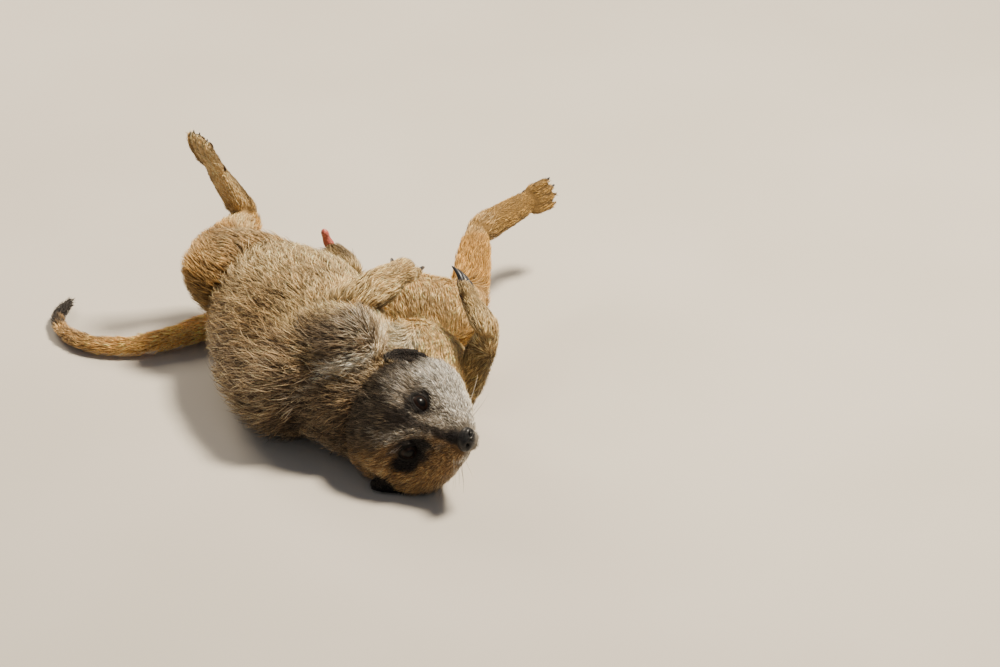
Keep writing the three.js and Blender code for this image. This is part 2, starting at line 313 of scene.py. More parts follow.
def loop_tube(rings: Array) -> Shape:
    """Closes rings (n, k, 3) both around and end to end, as a hoop of two triangles for each cell."""
    count, around = rings.shape[:2]
    row = np.arange(count)[:, None] * around
    after = (np.arange(count)[:, None] + 1) % count * around
    here = np.arange(around)
    there = (here + 1) % around
    return rings.reshape(-1, 3), halved(row + here, row + there, after + there, after + here)


def joined(shapes: Sequence[Shape]) -> Shape:
    """Several (points, faces) as one."""
    offsets = np.cumsum([0] + [len(points) for points, _ in shapes])
    points = np.vstack([points for points, _ in shapes])
    return points, np.vstack([faces + hop for (_, faces), hop in zip(shapes, offsets)])


def ball(centre: Array, axes: Array, radii: Sequence[float], count: int, around: int) -> Array:
    """Rings of a ball with three radii, whose poles lie along the first of its axes.

    A ring at polar angle p is cos(p) along the first axis and sin(p) around the other two.
    """
    polar = np.linspace(math.pi, 0, count + 2)[1:-1, None, None]
    turn = round_ring(around)
    along = np.cos(polar) * radii[0] * axes[0]
    wide = np.sin(polar) * np.cos(turn) * radii[1] * axes[1]
    deep = np.sin(polar) * np.sin(turn) * radii[2] * axes[2]
    return centre + along + wide + deep


def smoothed(values: Array, edges: Array, rounds: int, pull: Array | float = 0.5, push: float = 0.0) -> Array:
    """Values at the corners of a mesh, drawn towards the mean of their neighbours.

    Args:
        values: (n, k).
        edges: (m, 2) corner numbers.
        rounds: how many times.
        pull: the share of the way to the mean, one for all or one for each corner, (n, 1).
        push: the share of the way back that follows each pull, which keeps a shape's volume.

    Returns:
        The smooth values.
    """
    count = len(values)
    ends = edges.ravel()
    others = edges[:, ::-1].ravel()
    number = np.maximum(np.bincount(ends, minlength=count), 1)[:, None]
    for move in [pull, -push] * rounds if push else [pull] * rounds:
        columns = [np.bincount(ends, values[others, axis], count) for axis in range(values.shape[1])]
        values = values + (np.stack(columns, 1) / number - values) * move
    return values


def corner_normals(points: Array, faces: Array) -> Array:
    """Normals at the corners of a mesh of triangles: the sum of each one's faces' area vectors."""
    a, b, c = (points[faces[:, corner]] for corner in range(3))
    facing = np.cross(b - a, c - a)
    spread = np.repeat(facing, 3, axis=0)
    columns = [np.bincount(faces.ravel(), spread[:, axis], len(points)) for axis in range(3)]
    return unit(np.stack(columns, 1))


# ---- the pose ----
@dataclass(frozen=True)
class HeadFrame:
    """The head's own directions, which start midway between the eyes."""

    origin: Triple = (0.0, 0.0, 33.0)
    ahead: Triple = (0.6, -0.755, 0.27)
    aside: Triple = (0.23, 0.47, 0.85)

    @property
    def axes(self) -> Array:
        """Forward, left and up as rows."""
        forward = unit(np.array(self.ahead))
        left = squared(np.array(self.aside), forward)
        return np.stack([forward, left, np.cross(forward, left)])

    def way(self, place: Array, sign: float = 1.0) -> Array:
        """A direction given forward, left and up, mirrored by the sign."""
        return np.asarray(place, float) * (1, sign, 1) @ self.axes

    def point(self, place: Array, sign: float = 1.0) -> Array:
        """A place given forward, left and up, mirrored by the sign."""
        return self.way(place, sign) + self.origin

    def read(self, points: Array) -> Array:
        """Points of the pose frame as forward, left and up."""
        return (points - self.origin) @ self.axes.T


HEAD = HeadFrame()
EYE_PLACE = np.array([-1.0, 9.7, 0.2])
NOSE_PLACE = np.array([27.9, 0.0, -9.6])


def model_shift() -> Array:
    """What is added to the pose frame, in millimetres, to reach the model's: the eyes coincide."""
    corners = [np.array(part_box(f"eye_{side}")) for side, _ in SIDES]
    middle = np.mean([corner.mean(0) for corner in corners], axis=0) / MM
    return middle - HEAD.point(EYE_PLACE * (1, 0, 1))


SHIFT = model_shift()


def placed(points: Array) -> Array:
    """Points of the pose frame, in millimetres, in the model's frame, in metres."""
    return (points + SHIFT) * MM


class Region(Enum):
    """The parts of the animal that differ in coat."""

    HEAD = 0
    EAR = 1
    NECK = 2
    TRUNK = 3
    ARM = 4
    FOREARM = 5
    PAW = 6
    THIGH = 7
    SHANK = 8
    FOOT = 9
    TAIL = 10
    SHEATH = 11

    def of(self, weights: Array) -> Array:
        """This region's share at each corner, of the shares of all regions, (n, 12)."""
        return weights[:, self.value]


@dataclass
class Limb:
    """An ellipse carried along a curve: one length of the body.

    Attributes:
        region: which coat it has.
        places: stations along the middle, (n, 3), in millimetres.
        halves: half-width and half-depth at each station, to the tips of the coat, (n, 2).
        side: the way that the width points, (3,) or one for each station.
        ends: the shares of the way that the two ends are rounded over.
        coat: the depth of the coat at the low side of the depth, at its high side and at both sides
            of the width.
        runs: 1 where the hair lies along the curve and -1 where it lies against it.
        hair: the length of the hair at the start and at the end.
        soft: how far, in millimetres, this length's coat passes into its neighbours'.
        around: how many points a ring has.
        along: how many rings there are.
        takes: the shares of the way between which its coat takes over from its neighbours'.
        toe: whether it is a toe.
    """

    region: Region
    places: Array
    halves: Array
    side: Array
    ends: Pair = (0.3, 0.3)
    coat: Triple = (2.2, 2.2, 2.2)
    runs: float = 1.0
    hair: Pair = (4.0, 4.0)
    soft: float = 3.0
    around: int = 28
    along: int = 26
    takes: Pair = (-1.0, 0.0)
    toe: bool = False

    def section(self, shares: Array) -> tuple[Array, Array, Array, Array, Array]:
        """The skin's middles, headings, width ways, depth ways and half sizes at shares of the way."""
        nudge, thinnest = 1e-4, 0.7
        heading = unit(curve(self.places, shares + nudge) - curve(self.places, shares - nudge))
        side = np.broadcast_to(self.side, self.places.shape)
        knots = np.linspace(0, 1, len(side))
        across = np.stack([np.interp(shares, knots, side[:, axis]) for axis in range(3)], 1)
        across = squared(across, heading)
        other = np.cross(heading, across)
        low, high, wide = self.coat
        middle = curve(self.places, shares) + other * (low - high) / 2
        size = curve(self.halves, shares) - (wide, (low + high) / 2)
        return middle, heading, across, other, np.maximum(size, thinnest)

    def rings(self) -> Array:
        """The skin as rings, close together at the ends.

        Each is cos(a) of the half-width and sin(a) of the half-depth, times the rounding of the two
        ends, sqrt(1 - (1 - x)^2).
        """
        shares = (1 - np.cos(np.linspace(0.02, 0.98, self.along) * math.pi)) / 2
        middle, _, across, other, size = self.section(shares)
        start = np.clip(shares / self.ends[0], 0, 1)
        end = np.clip((1 - shares) / self.ends[1], 0, 1)
        ring = np.sqrt(1 - (1 - start) ** 2) * np.sqrt(1 - (1 - end) ** 2)
        angle = round_ring(self.around)
        wide = (size[:, 0] * ring)[:, None, None] * across[:, None] * np.cos(angle)
        deep = (size[:, 1] * ring)[:, None, None] * other[:, None] * np.sin(angle)
        return middle[:, None] + wide + deep

    def read(self, points: Array) -> tuple[Array, Array, Array, Array, Array]:
        """Where points stand beside this length.

        Args:
            points: places in the pose frame, (n, 3).

        Returns:
            How far each is outside the skin, the share of the way, the place across the width and
            across the depth, where 1 is the skin, and the heading.
        """
        count = 60
        shares = np.linspace(0, 1, count)
        middle, heading, across, other, size = self.section(shares)
        index = np.argmin(squares(points, middle), axis=1)
        offset = points - middle[index]
        along = dot(offset, heading[index])
        wide = dot(offset, across[index]) / size[index, 0]
        deep = dot(offset, other[index]) / size[index, 1]
        mean = size[index].mean(1)
        past = np.where((index == 0) | (index == count - 1), along / mean, 0)
        outside = (np.sqrt(wide**2 + deep**2 + past**2) - 1) * mean
        return outside, shares[index], wide, deep, heading[index]


@dataclass(frozen=True)
class Claw:
    """One claw's place: the toe's tip, its heading, the way to its sole and the way across."""

    name: str
    tip: Array
    heading: Array
    under: Array
    across: Array
    length: float
    hook: float


@dataclass(frozen=True)
class Foot:
    """A foot: a sole from root to knuckles and four toes.

    Attributes:
        region: which coat it has.
        claws: the name of its claws, without their numbers.
        root: where it leaves the leg.
        knuckles: where the toes leave it.
        back: the way that its back faces.
        radii: its radii along the sole.
        toe: the length, spread and bend of the toes, the last two in degrees.
        claw: the length and hook of the claws, the last in degrees.
        depth: the sole's half-depth at the knuckles, as a share of the last of the radii.
        gap: the way from one toe to the next, as a share of it.
        shorter: how much shorter a toe is for each step away from the foot's middle, as a share.
    """

    region: Region
    claws: str
    root: Array
    knuckles: Array
    back: Array
    radii: Array
    toe: Triple
    claw: Pair
    depth: float = 0.62
    gap: float = 0.52
    shorter: float = 0.12

    @property
    def axes(self) -> Array:
        """The way to the knuckles, the way that the back faces, and across, as rows."""
        run = unit(self.knuckles - self.root)
        dorsal = squared(self.back, run)
        return np.stack([run, dorsal, np.cross(dorsal, run)])

    def digits(self) -> Iterator[tuple[Array, Array, Array, Array]]:
        """Each toe's start, heading, the way to its sole and its tip."""
        run, dorsal, across = self.axes
        length, spread, bend = self.toe
        for place in (-1.5, -0.5, 0.5, 1.5):
            fan = math.radians(spread * place)
            flat = run * math.cos(fan) + across * math.sin(fan)
            turn = math.radians(bend)
            heading = flat * math.cos(turn) - dorsal * math.sin(turn)
            under = -flat * math.sin(turn) - dorsal * math.cos(turn)
            start = self.knuckles + across * place * self.radii[2] * self.gap
            tip = start + heading * length * (1 - self.shorter * abs(place))
            yield start, heading, under, tip

    def limbs(self) -> list[Limb]:
        """The sole and the toes."""
        run, _, across = self.axes
        first, second, third = self.radii
        heel = self.root - run * first * 0.6
        places = np.array([heel, (self.root + self.knuckles) / 2, self.knuckles + run * 3])
        halves = rows((first, first), (second, second * 0.85), (third * 1.15, third * self.depth))
        sole = {"coat": (1.4, 1.8, 1.6), "hair": (3.6, 2.4), "along": 20}
        made = [Limb(self.region, places, halves, across, **sole)]
        thin = 0.9
        toe = {"coat": (thin,) * 3, "hair": (2.8, 2.8), "soft": 1.0, "around": 16, "along": 14, "toe": True}
        for start, _, under, tip in self.digits():
            path = np.array([start - run * 4, start * 0.45 + tip * 0.55 - under * 0.5, tip])
            sizes = rows((2.6, 3.0), (2.15, 2.7), (1.9, 2.2)) + thin
            made.append(Limb(self.region, path, sizes, across, **toe))
        return made

    def nails(self) -> Iterator[Claw]:
        """The claws."""
        across = self.axes[2]
        for number, (_, heading, under, tip) in enumerate(self.digits(), 1):
            yield Claw(f"{self.claws}_{number}", tip, heading, under, across, *self.claw)


def table(*values: Sequence[float]) -> Array:
    """A dataclass field that starts as rows of numbers."""
    return field(default_factory=lambda: rows(*values))


@dataclass
class Anatomy:
    """The lengths of the body in their pose, as the solids have them, in millimetres.

    Attributes:
        skull: how far ahead each station is, its half-width, its top and its bottom.
        cheek: places in the head's frame, and the radius at each.
        ear_places: the ears' middles in the head's frame.
        ear_lengths: half of each ear's length.
        ear_long: the way along an ear.
        ear_out: the way across it.
        trunk: places, half-width, half-depth, and the roll of the width in degrees.
        tail: places, and the radius at each, as in sheath and sheath_tip.
        feet: the four feet.
    """

    skull: Array = table(
        (-42, 18, 7, -19), (-33, 25, 14, -25), (-21, 29.5, 18, -27), (-9, 26.5, 14.5, -27), (1, 19, 8.5, -25),
        (9, 13, 3, -23), (17, 9.5, -2, -21.5), (25, 7.6, -4.8, -19.8), (31, 6, -6.8, -17.8),
    )
    cheek: Array = table(
        (-25, 16.5, -9, 13), (-8, 16.5, -11.5, 15), (7, 11, -13, 12), (17, 6, -13, 9), (26, 3, -12.5, 6)
    )
    ear_places: tuple[Triple, ...] = ((-21, 29.5, -3), (-12.5, 30.5, -4))
    ear_lengths: Pair = (11.4, 10.4)
    ear_long: Triple = (0.62, 0.1, -0.78)
    ear_out: Triple = (-0.25, 0.85, 0.05)
    trunk: Array = table(
        (-35, 34, 30, 24, 29, 78), (-44, 52, 33, 33, 41, 68), (-54, 74, 34, 34.5, 45, 58),
        (-61, 99, 34, 38, 43.5, 45), (-61, 123, 31, 41, 33.5, 30), (-54, 146, 25.5, 38, 25.5, 18),
        (-47, 166, 20, 24, 19, 12),
    )
    tail: Array = table(
        (-48, 160, 15, 11), (-68, 164, 11, 9.6), (-88, 160, 8.4, 8.4), (-108, 149, 7, 7.3),
        (-127, 138, 6.1, 6.5), (-146, 132, 5.4, 5.8), (-164, 135, 4.9, 5.3), (-178, 147, 4.5, 4.9),
        (-184, 165, 4.1, 4.5), (-179, 184, 3.5, 3.9),
    )
    sheath: Array = table((-30, 118, 50, 5.5), (-37, 130, 53, 7.6), (-45, 141, 54, 7.4))
    sheath_tip: Array = table((-44, 141, 56, 3), (-46, 140, 62, 2.7), (-47, 139, 67, 1.8))
    feet: tuple[Foot, ...] = (
        Foot(
            Region.PAW, "claw_fore_left", rows(-7, 82, 73), rows(-7, 98, 63),
            back=rows(0.25, 0.4, 0.87), radii=rows(8.6, 8, 7), toe=(8, 8, -35), claw=(11, 25),
        ),
        Foot(
            Region.PAW, "claw_fore_right", rows(34.5, 51, 57), rows(24, 70, 66),
            back=rows(0.7, 0.3, 0.65), radii=rows(8, 8, 6.8), toe=(6, 8, -30), claw=(10.5, 45),
        ),
        Foot(
            Region.FOOT, "claw_hind_left", rows(-87, 178, 54), rows(-103.5, 168, 88.5),
            back=rows(-0.75, -0.6, 0), radii=rows(8.5, 8.4, 8), toe=(21, 2.5, 5), claw=(3.5, 40),
        ),
        Foot(
            Region.FOOT, "claw_hind_right", rows(28, 182, 44), rows(56.5, 219, 44),
            back=rows(0.8, -0.4, 0.3), radii=rows(9.4, 8.6, 7), toe=(14, 3.5, -18), claw=(5.5, 45),
        ),
    )

    def head_limbs(self) -> list[Limb]:
        """The skull, the cheeks and the ears."""
        left = HEAD.axes[1]
        ahead, wide, top, bottom = self.skull.T
        places = HEAD.point(np.stack([ahead, 0 * ahead, (top + bottom) / 2], 1))
        halves = np.stack([wide, (top - bottom) / 2], 1)
        face = {"runs": -1, "hair": (5.0, 1.6), "soft": 2.0}
        skull = {"ends": (0.2, 0.06), "coat": (1.8, 2.0, 2.0), "around": 44, "along": 44}
        made = [Limb(Region.HEAD, places, halves, left, **skull, **face)]
        for _, sign in SIDES:
            places = HEAD.point(self.cheek[:, :3], sign)
            halves = self.cheek[:, [3, 3]]
            cheek = {"ends": (0.25, 0.15), "coat": (1.8,) * 3}
            made.append(Limb(Region.HEAD, places, halves, left, **cheek, **face))
        for (_, sign), place, reach in zip(SIDES, self.ear_places, self.ear_lengths):
            long = unit(HEAD.way(self.ear_long, sign))
            out = squared(HEAD.way(self.ear_out, sign), long)
            centre = HEAD.point(place, sign)
            places = centre + np.outer((-1, 0, 1), long) * reach
            halves = np.full((3, 2), (6.6, 2.6))
            shell = {"ends": (0.5, 0.5), "coat": (0.2, 0.4, 0.2), "hair": (2.4, 2.4), "soft": 0.7}
            made.append(Limb(Region.EAR, places, halves, out, **shell))
        return made

    def trunk_limbs(self) -> list[Limb]:
        """The neck, the trunk, the tail and the sheath."""
        neck = np.vstack([HEAD.point(rows((-18, 0, -6), (-30, 0, -6))), rows((-32, 44, 29), (-43, 56, 33))])
        roll = np.radians(self.trunk[:, 5])
        side = np.stack([-np.cos(roll), 0 * roll, np.sin(roll)], 1)
        trunk, tail, sheath = self.trunk, self.tail, self.sheath
        return [
            Limb(
                Region.NECK, neck, rows((20, 17), (25, 23), (28, 28), (22, 22)), HEAD.axes[1],
                ends=(0.2, 0.2), coat=(4.5, 3.0, 3.5), hair=(8.0, 13.0), soft=6.0, around=40, along=30,
            ),
            Limb(
                Region.TRUNK, trunk[:, :3], trunk[:, 3:5], side,
                ends=(0.12, 0.14), coat=(6.5, 3.0, 4.5), hair=(14.0, 12.0), soft=4.0, around=64, along=60,
            ),
            Limb(
                Region.TAIL, tail[:, :3], tail[:, [3, 3]], rows(0, 0, 1),
                ends=(0.04, 0.05), coat=(1.8, 2.0, 2.2), hair=(9.0, 5.0), around=24, along=60,
            ),
            Limb(
                Region.SHEATH, sheath[:, :3], sheath[:, [3, 3]], rows(1, 0, 0),
                coat=(2.0, 2.0, 2.0), hair=(5.0, 5.0),
            ),
        ]

    def leg_limbs(self) -> list[Limb]:
        """The two bones' lengths of each leg.

        A row has a leg's three joints, the radii of its upper and its lower length, and the shares of
        the upper one between which its coat takes over from the trunk's.
        """
        legs = (
            ((-27, 38, 54), (-49, 58, 53), (-7, 82, 73), (17, 17, 14), (13.5, 12, 9.2), (0.5, 0.95)),
            ((-8, 61, 30), (19.5, 57, 18), (35, 51, 56), (30, 27, 14), (11.5, 9.6, 8), (0.1, 0.5)),
            ((-68, 146, 30), (-106, 128, 53), (-86, 177, 52), (26, 25, 16), (13.5, 12, 10), (0.1, 0.5)),
            ((-26, 134, 27), (23, 121, 27), (28, 182, 44), (21.5, 21.4, 17), (12, 11.2, 9), (0.1, 0.5)),
        )
        names = ((Region.ARM, Region.FOREARM),) * 2 + ((Region.THIGH, Region.SHANK),) * 2
        shares = rows(0, 0.5, 1)
        made = []
        for (upper, lower), (*joints, thick, thin, shift) in zip(names, legs):
            ends = rows(*joints)
            lengths = ((upper, *ends[:2], thick, shift), (lower, *ends[1:], thin, Limb.takes))
            for region, start, end, radii, takes in lengths:
                run = unit(end - start)
                radius = rows(*radii)
                places = start + np.outer(shares, end - start) + np.outer((shares - 0.5) * radius, run)
                halves, side = np.stack([radius, radius], 1), squared(rows(0, 0, 1), run)
                coat = (1.3 if region is Region.ARM else 2.4,) * 3
                hair = (8.0, 6.0) if region in (Region.ARM, Region.THIGH) else (5.5, 4.2)
                made.append(Limb(region, places, halves, side, coat=coat, hair=hair, takes=takes))
        return made

    def limbs(self) -> list[Limb]:
        """Every length of the body."""
        feet = [limb for foot in self.feet for limb in foot.limbs()]
        return self.head_limbs() + self.trunk_limbs() + self.leg_limbs() + feet


# ---- the eyes' surroundings ----
@dataclass(frozen=True)
class EyeShape:
    """One eye's ball, and the almond that the lids leave open.

    Attributes:
        radius: the eyeball's.
        gaze: the way that the eye looks, forward, left and up.
        slit: the way from the outer corner of the lids to the inner one.
        corner: the half-angle of the opening along the slit, in radians.
        height: the half-angle of the opening across it.
    """

    radius: float = 5.6
    gaze: Triple = (0.79, 0.51, 0.34)
    slit: Triple = (0.61, -0.62, -0.48)
    corner: float = 1.0
    height: float = 0.62

    @property
    def axes(self) -> Array:
        """The gaze, the slit and the way across both, in the head's frame, as rows."""
        gaze = unit(np.array(self.gaze))
        slit = squared(np.array(self.slit), gaze)
        return np.stack([gaze, slit, np.cross(gaze, slit)])

    def opening(self, turn: Array) -> Array:
        """The half-angle of the opening at a turn about the gaze: a superellipse of power 1.75."""
        power = 1.75
        wide = np.abs(np.cos(turn)) / self.corner
        high = np.abs(np.sin(turn)) / self.height
        return (wide**power + high**power) ** (-1 / power)

    def read(self, places: Array, sign: float) -> tuple[Array, Array, Array]:
        """The distance, the angle off the gaze and the turn about it, of places in the head's frame."""
        offset = (places * (1, sign, 1) - EYE_PLACE) @ self.axes.T
        away = np.linalg.norm(offset, axis=1)
        angle = np.arccos(np.clip(offset[:, 0] / np.maximum(away, 1e-6), -1, 1))
        return away, angle, np.arctan2(offset[:, 2], offset[:, 1])

    def point(self, away: Array, angle: Array, turn: Array, sign: float) -> Array:
        """The place in the pose frame at a distance, an angle off the gaze and a turn about it."""
        spread = np.sin(angle)
        local = np.stack([np.cos(angle), spread * np.cos(turn), spread * np.sin(turn)], -1)
        return HEAD.point((local * away[..., None]) @ self.axes + EYE_PLACE, sign)


EYE = EyeShape()


# ---- the skin ----
@dataclass
class Skin:
    """The animal's skin: all lengths of the body in one surface, with the face worked into it.

    Attributes:
        anatomy: the lengths of the body.
        grain: the size of the surface's faces, in millimetres.
        rest: how high above the floor the skin of the back stays, in millimetres.
        melting: how many rounds of smoothing melt the trunk, the neck and the legs' starts together.
    """

    anatomy: Anatomy
    grain: float = 1.15
    rest: float = 1.6
    melting: int = 70

    def build(self) -> Object:
        """Joins the lengths, evens out the surface, works the face and unwraps it."""
        shapes = [tube(limb.rings()) for limb in self.anatomy.limbs()]
        points, faces = joined(shapes)
        rough = make_object("skin_rough", make_mesh("skin_rough", placed(points), faces))
        remesh = rough.modifiers.new("even", "REMESH")
        remesh.mode = "VOXEL"
        remesh.voxel_size = self.grain * MM
        evaluated = rough.evaluated_get(bpy.context.evaluated_depsgraph_get())
        mesh = bpy.data.meshes.new_from_object(evaluated)
        bpy.data.objects.remove(rough)
        self.refine(mesh)
        mesh.name = "skin"
        edges = read_edges(mesh)
        points = read_points(mesh) / MM - SHIFT
        points = smoothed(points, edges, 5, 0.5, 0.5)
        points = smoothed(points, edges, self.melting, 0.5 * self.loose(points)[:, None])
        points = self.work_face(points)
        points = smoothed(points, edges, 1, 0.3, 0.3)
        points[:, 2] = soft_floor(points[:, 2], self.rest, 0.5)
        mesh.vertices.foreach_set("co", placed(points).astype(np.float32).ravel())
        mesh.polygons.foreach_set("use_smooth", np.full(len(mesh.polygons), True))
        mesh.update()
        made = make_object("skin", mesh)
        self.unwrap(made)
        return made

    def loose(self, points: Array) -> Array:
        """1 on the trunk, the neck and the starts of the legs, falling to 0 on all the rest."""
        free = np.ones(len(points))
        for limb in self.anatomy.limbs():
            if limb.region in (Region.TRUNK, Region.NECK):
                continue
            outside, share, *_ = limb.read(points)
            held = np.exp(-np.maximum(outside, 0) / 5)
            if limb.region in (Region.ARM, Region.THIGH):
                held *= step(share, 0.45, 0.95)
            free = np.minimum(free, 1 - held)
        return free

    def refine(self, mesh: Mesh) -> None:
        """Splits the faces about the muzzle and the eyes in four, and makes all faces triangles."""
        work = bmesh.new()
        work.from_mesh(mesh)
        work.faces.ensure_lookup_table()
        centres = np.array([face.calc_center_median() for face in work.faces]) / MM - SHIFT
        local = HEAD.read(centres)
        near = (local[:, 0] > -12) & (np.abs(local[:, 1]) < 26) & (np.linalg.norm(local, axis=1) < 44)
        chosen = [work.faces[number] for number in np.flatnonzero(near)]
        edges = {edge for face in chosen for edge in face.edges}
        bmesh.ops.subdivide_edges(work, edges=list(edges), cuts=1, use_grid_fill=True)
        bmesh.ops.triangulate(work, faces=work.faces[:])
        work.to_mesh(mesh)
        work.free()

    def work_face(self, points: Array) -> Array:
        """Moves the face's skin: the sockets and lids, the lips and the ears' hollows."""
        local = HEAD.read(points)
        for (_, sign), ear in zip(SIDES, self.anatomy.ear_places):
            local = self.fit_lids(local, sign)
            local = self.part_lips(local, sign)
            local = self.hollow_ear(local, sign, ear)
        return HEAD.point(local)

    def fit_lids(self, local: Array, sign: float) -> Array:
        """Draws the skin about an eye onto the eyeball.

        Inside the opening the skin goes under the ball. Outside it lies on the ball at the lids'
        thickness, and passes back into the face between 0.2 and 0.85 radians beyond the opening.
        """
        away, angle, turn = EYE.read(local, sign)
        past = angle - EYE.opening(turn)
        lid = EYE.radius + 0.55 + 0.5 * bell((past - 0.3) / 0.2)
        inside = EYE.radius - 1.1
        target = between(inside, lid, step(past, -0.06, 0.1))
        hold = step(past, 0.85, 0.2) * step(away, 15, 9)
        moved = away + (target - away) * hold
        scale = moved / np.maximum(away, 1e-6)
        centre = EYE_PLACE * (1, sign, 1)
        return centre + (local - centre) * scale[:, None]

    def part_lips(self, local: Array, sign: float) -> Array:
        """Presses in the line of the mouth."""
        mirrored = local * (1, sign, 1)
        knots = rows((29, 0.5, -16.2), (24, 6, -16.6), (15, 9.6, -17.8), (6, 13.5, -17.5))
        line = curve(knots, np.linspace(0, 1, 60))
        depth = 0.9 * bell(nearest(mirrored, line))
        inward = unit(mirrored - (12, 0, -13)) * (1, sign, 1)
        return local - inward * depth[:, None]

    def hollow_ear(self, local: Array, sign: float, ear: Sequence[float]) -> Array:
        """Presses the front of an ear, whose middle is given, into a shallow cup."""
        mirrored = local * (1, sign, 1)
        long = unit(np.array(self.anatomy.ear_long))
        out = squared(np.array(self.anatomy.ear_out), long)
        face = np.cross(long, out)
        offset = mirrored - ear
        ring = np.hypot(offset @ long / 10.0, (offset @ out - 0.5) / 5.2)
        thick = offset @ face
        depth = 1.5 * step(ring, 1, 0.3) * step(thick, 0.2, 1.0) * step(thick, 5, 4)
        return local - (face * (1, sign, 1)) * depth[:, None]

    def unwrap(self, made: Object) -> None:
        """Lays the skin out flat, as islands by the way that it faces."""
        bpy.context.view_layer.objects.active = made
        made.select_set(True)
        made.data.uv_layers.new(name=MAP)
        bpy.ops.object.mode_set(mode="EDIT")
        bpy.ops.mesh.select_all(action="SELECT")
        bpy.ops.uv.smart_project(angle_limit=math.radians(66), island_margin=0.002)
        bpy.ops.object.mode_set(mode="OBJECT")
        made.select_set(False)


def between(first: Array, second: Array, share: Array) -> Array:
    """Numbers mixed by a share."""
    return first + (second - first) * share


def soft_floor(heights: Array, level: float, give: float) -> Array:
    """Heights kept above a level, rounded over `give`: level + give * log(1 + exp((z - level) / give))."""
    return level + give * np.logaddexp(0, (heights - level) / give)


def nearest(points: Array, line: Array) -> Array:
    """The distance from each point to the nearest of a line's points."""
    return np.sqrt(np.maximum(squares(points, line).min(1), 0))


# ---- colours of the coat ----
@dataclass(frozen=True)
class Fur:
    """One kind of coat: a hair's colours from root to tip, and the share of hairs with a dark tip."""

    root: Colour
    middle: Colour
    tip: Colour
    ticked: float = 0.15

    @property
    def row(self) -> Array:
        """The three colours and the share as one row of ten numbers."""
        return np.concatenate([linear(self.root), linear(self.middle), linear(self.tip), [self.ticked]])


class Kind(Enum):
    """The kinds of coat on the animal, and the painted shade and light laid over it."""

    BACK = Fur((38, 26, 15), (136, 107, 66), (216, 188, 138), 0.2)
    RUFOUS = Fur((34, 24, 17), (94, 70, 45), (222, 198, 160), 0.3)
    NAPE = Fur((40, 31, 24), (128, 108, 82), (236, 224, 200), 0.25)
    HIP = Fur((88, 70, 48), (182, 158, 118), (236, 218, 178), 0.16)
    BELLY = Fur((122, 96, 60), (188, 162, 114), (234, 214, 168), 0.12)
    BREAST = Fur((190, 150, 96), (242, 206, 144), (250, 226, 174), 0.02)
    LIMB = Fur((112, 80, 38), (193, 144, 68), (214, 168, 90), 0.1)
    FOREARM = Fur((82, 63, 37), (174, 147, 97), (214, 192, 146), 0.29)
    FOOT = Fur((88, 66, 36), (162, 126, 64), (188, 152, 88), 0.12)
    CROWN = Fur((18, 13, 10), (43, 34, 26), (156, 140, 116), 0.42)
    BROW = Fur((30, 24, 19), (130, 117, 99), (230, 224, 212), 0.3)
    CHEEK = Fur((50, 42, 36), (198, 190, 176), (253, 251, 245), 0.3)
    MUZZLE = Fur((40, 34, 29), (152, 142, 126), (228, 222, 210), 0.3)
    # Partly the tan of the head's right side and partly painted shade, as that side is turned from the light.
    JOWL_AND_SHADE = Fur((44, 30, 18), (146, 110, 66), (214, 182, 134), 0.32)
    THROAT = Fur((140, 120, 92), (220, 206, 172), (242, 234, 212), 0.05)
    MASK = Fur((12, 9, 8), (22, 17, 15), (40, 33, 28), 0.1)
    BRIDGE = Fur((22, 17, 14), (40, 32, 26), (74, 62, 51), 0.25)
    EAR = Fur((10, 8, 8), (22, 18, 15), (66, 57, 50), 0.2)
    SPOT = Fur((104, 66, 44), (150, 98, 66), (170, 120, 86), 0.0)
    STREAK = Fur((74, 60, 45), (214, 198, 170), (252, 246, 232), 0.2)
    # Painted light: a paler gold that stands in for light on the left shank.
    PAINTED_LIGHT_GOLD = Fur((178, 140, 88), (250, 220, 158), (255, 240, 196), 0.04)
    # Partly the soles' own dark skin and hair, partly painted shade of the side turned from the light.
    SOLE_AND_SHADE = Fur((60, 44, 24), (112, 88, 50), (146, 118, 74), 0.2)
    SHADOW = Fur((24, 17, 12), (54, 40, 27), (120, 98, 70), 0.3)
    # Partly the tail base's own orange and partly painted light, since the tail lies in the body's shadow.
    TAIL_BASE_AND_LIGHT = Fur((196, 128, 62), (255, 198, 114), (255, 220, 150), 0.05)
    TAIL = Fur((104, 74, 38), (190, 148, 88), (220, 184, 126), 0.15)
    TAIL_TIP = Fur((14, 11, 9), (28, 22, 18), (46, 37, 30), 0.1)
    STRIPE = Fur((26, 18, 13), (62, 45, 30), (120, 94, 64), 0.4)

    def over(self, paint: Array, share: Array) -> Array:
        """This kind laid over rows of a coat, by a share for each row."""
        return mixed(paint, self.value.row, share)

    def all_over(self, count: int) -> Array:
        """Rows of this kind alone."""
        return np.tile(self.value.row, (count, 1))


@dataclass(frozen=True)
class Stroke:
    """A marking, or painted shade or light, drawn along a line, as a soft-edged brush draws it.

    Attributes:
        kind: the coat that it paints.
        line: places and the brush's radius at each, in millimetres.
        share: how much of the colour below it covers.
        soft: the share of the radius over which its edge fades, to each side.
    """

    kind: Kind
    line: tuple[tuple[float, float, float, float], ...]
    share: float = 1.0
    soft: float = 0.3

    def over(self, paint: Array, places: Array, fine: Array) -> Array:
        """Paints over rows of a coat, given the corners' places and fine noise that frays its edge."""
        path = curve(rows(*self.line), np.linspace(0, 1, 12 * len(self.line)))
        spots, radii = path[:, :3], path[:, 3]
        ratio = np.sqrt(np.maximum((squares(places, spots) / radii**2).min(1), 0))
        cover = step(ratio + 0.16 * fine, 1 + self.soft, 1 - self.soft)
        return self.kind.over(paint, self.share * cover)


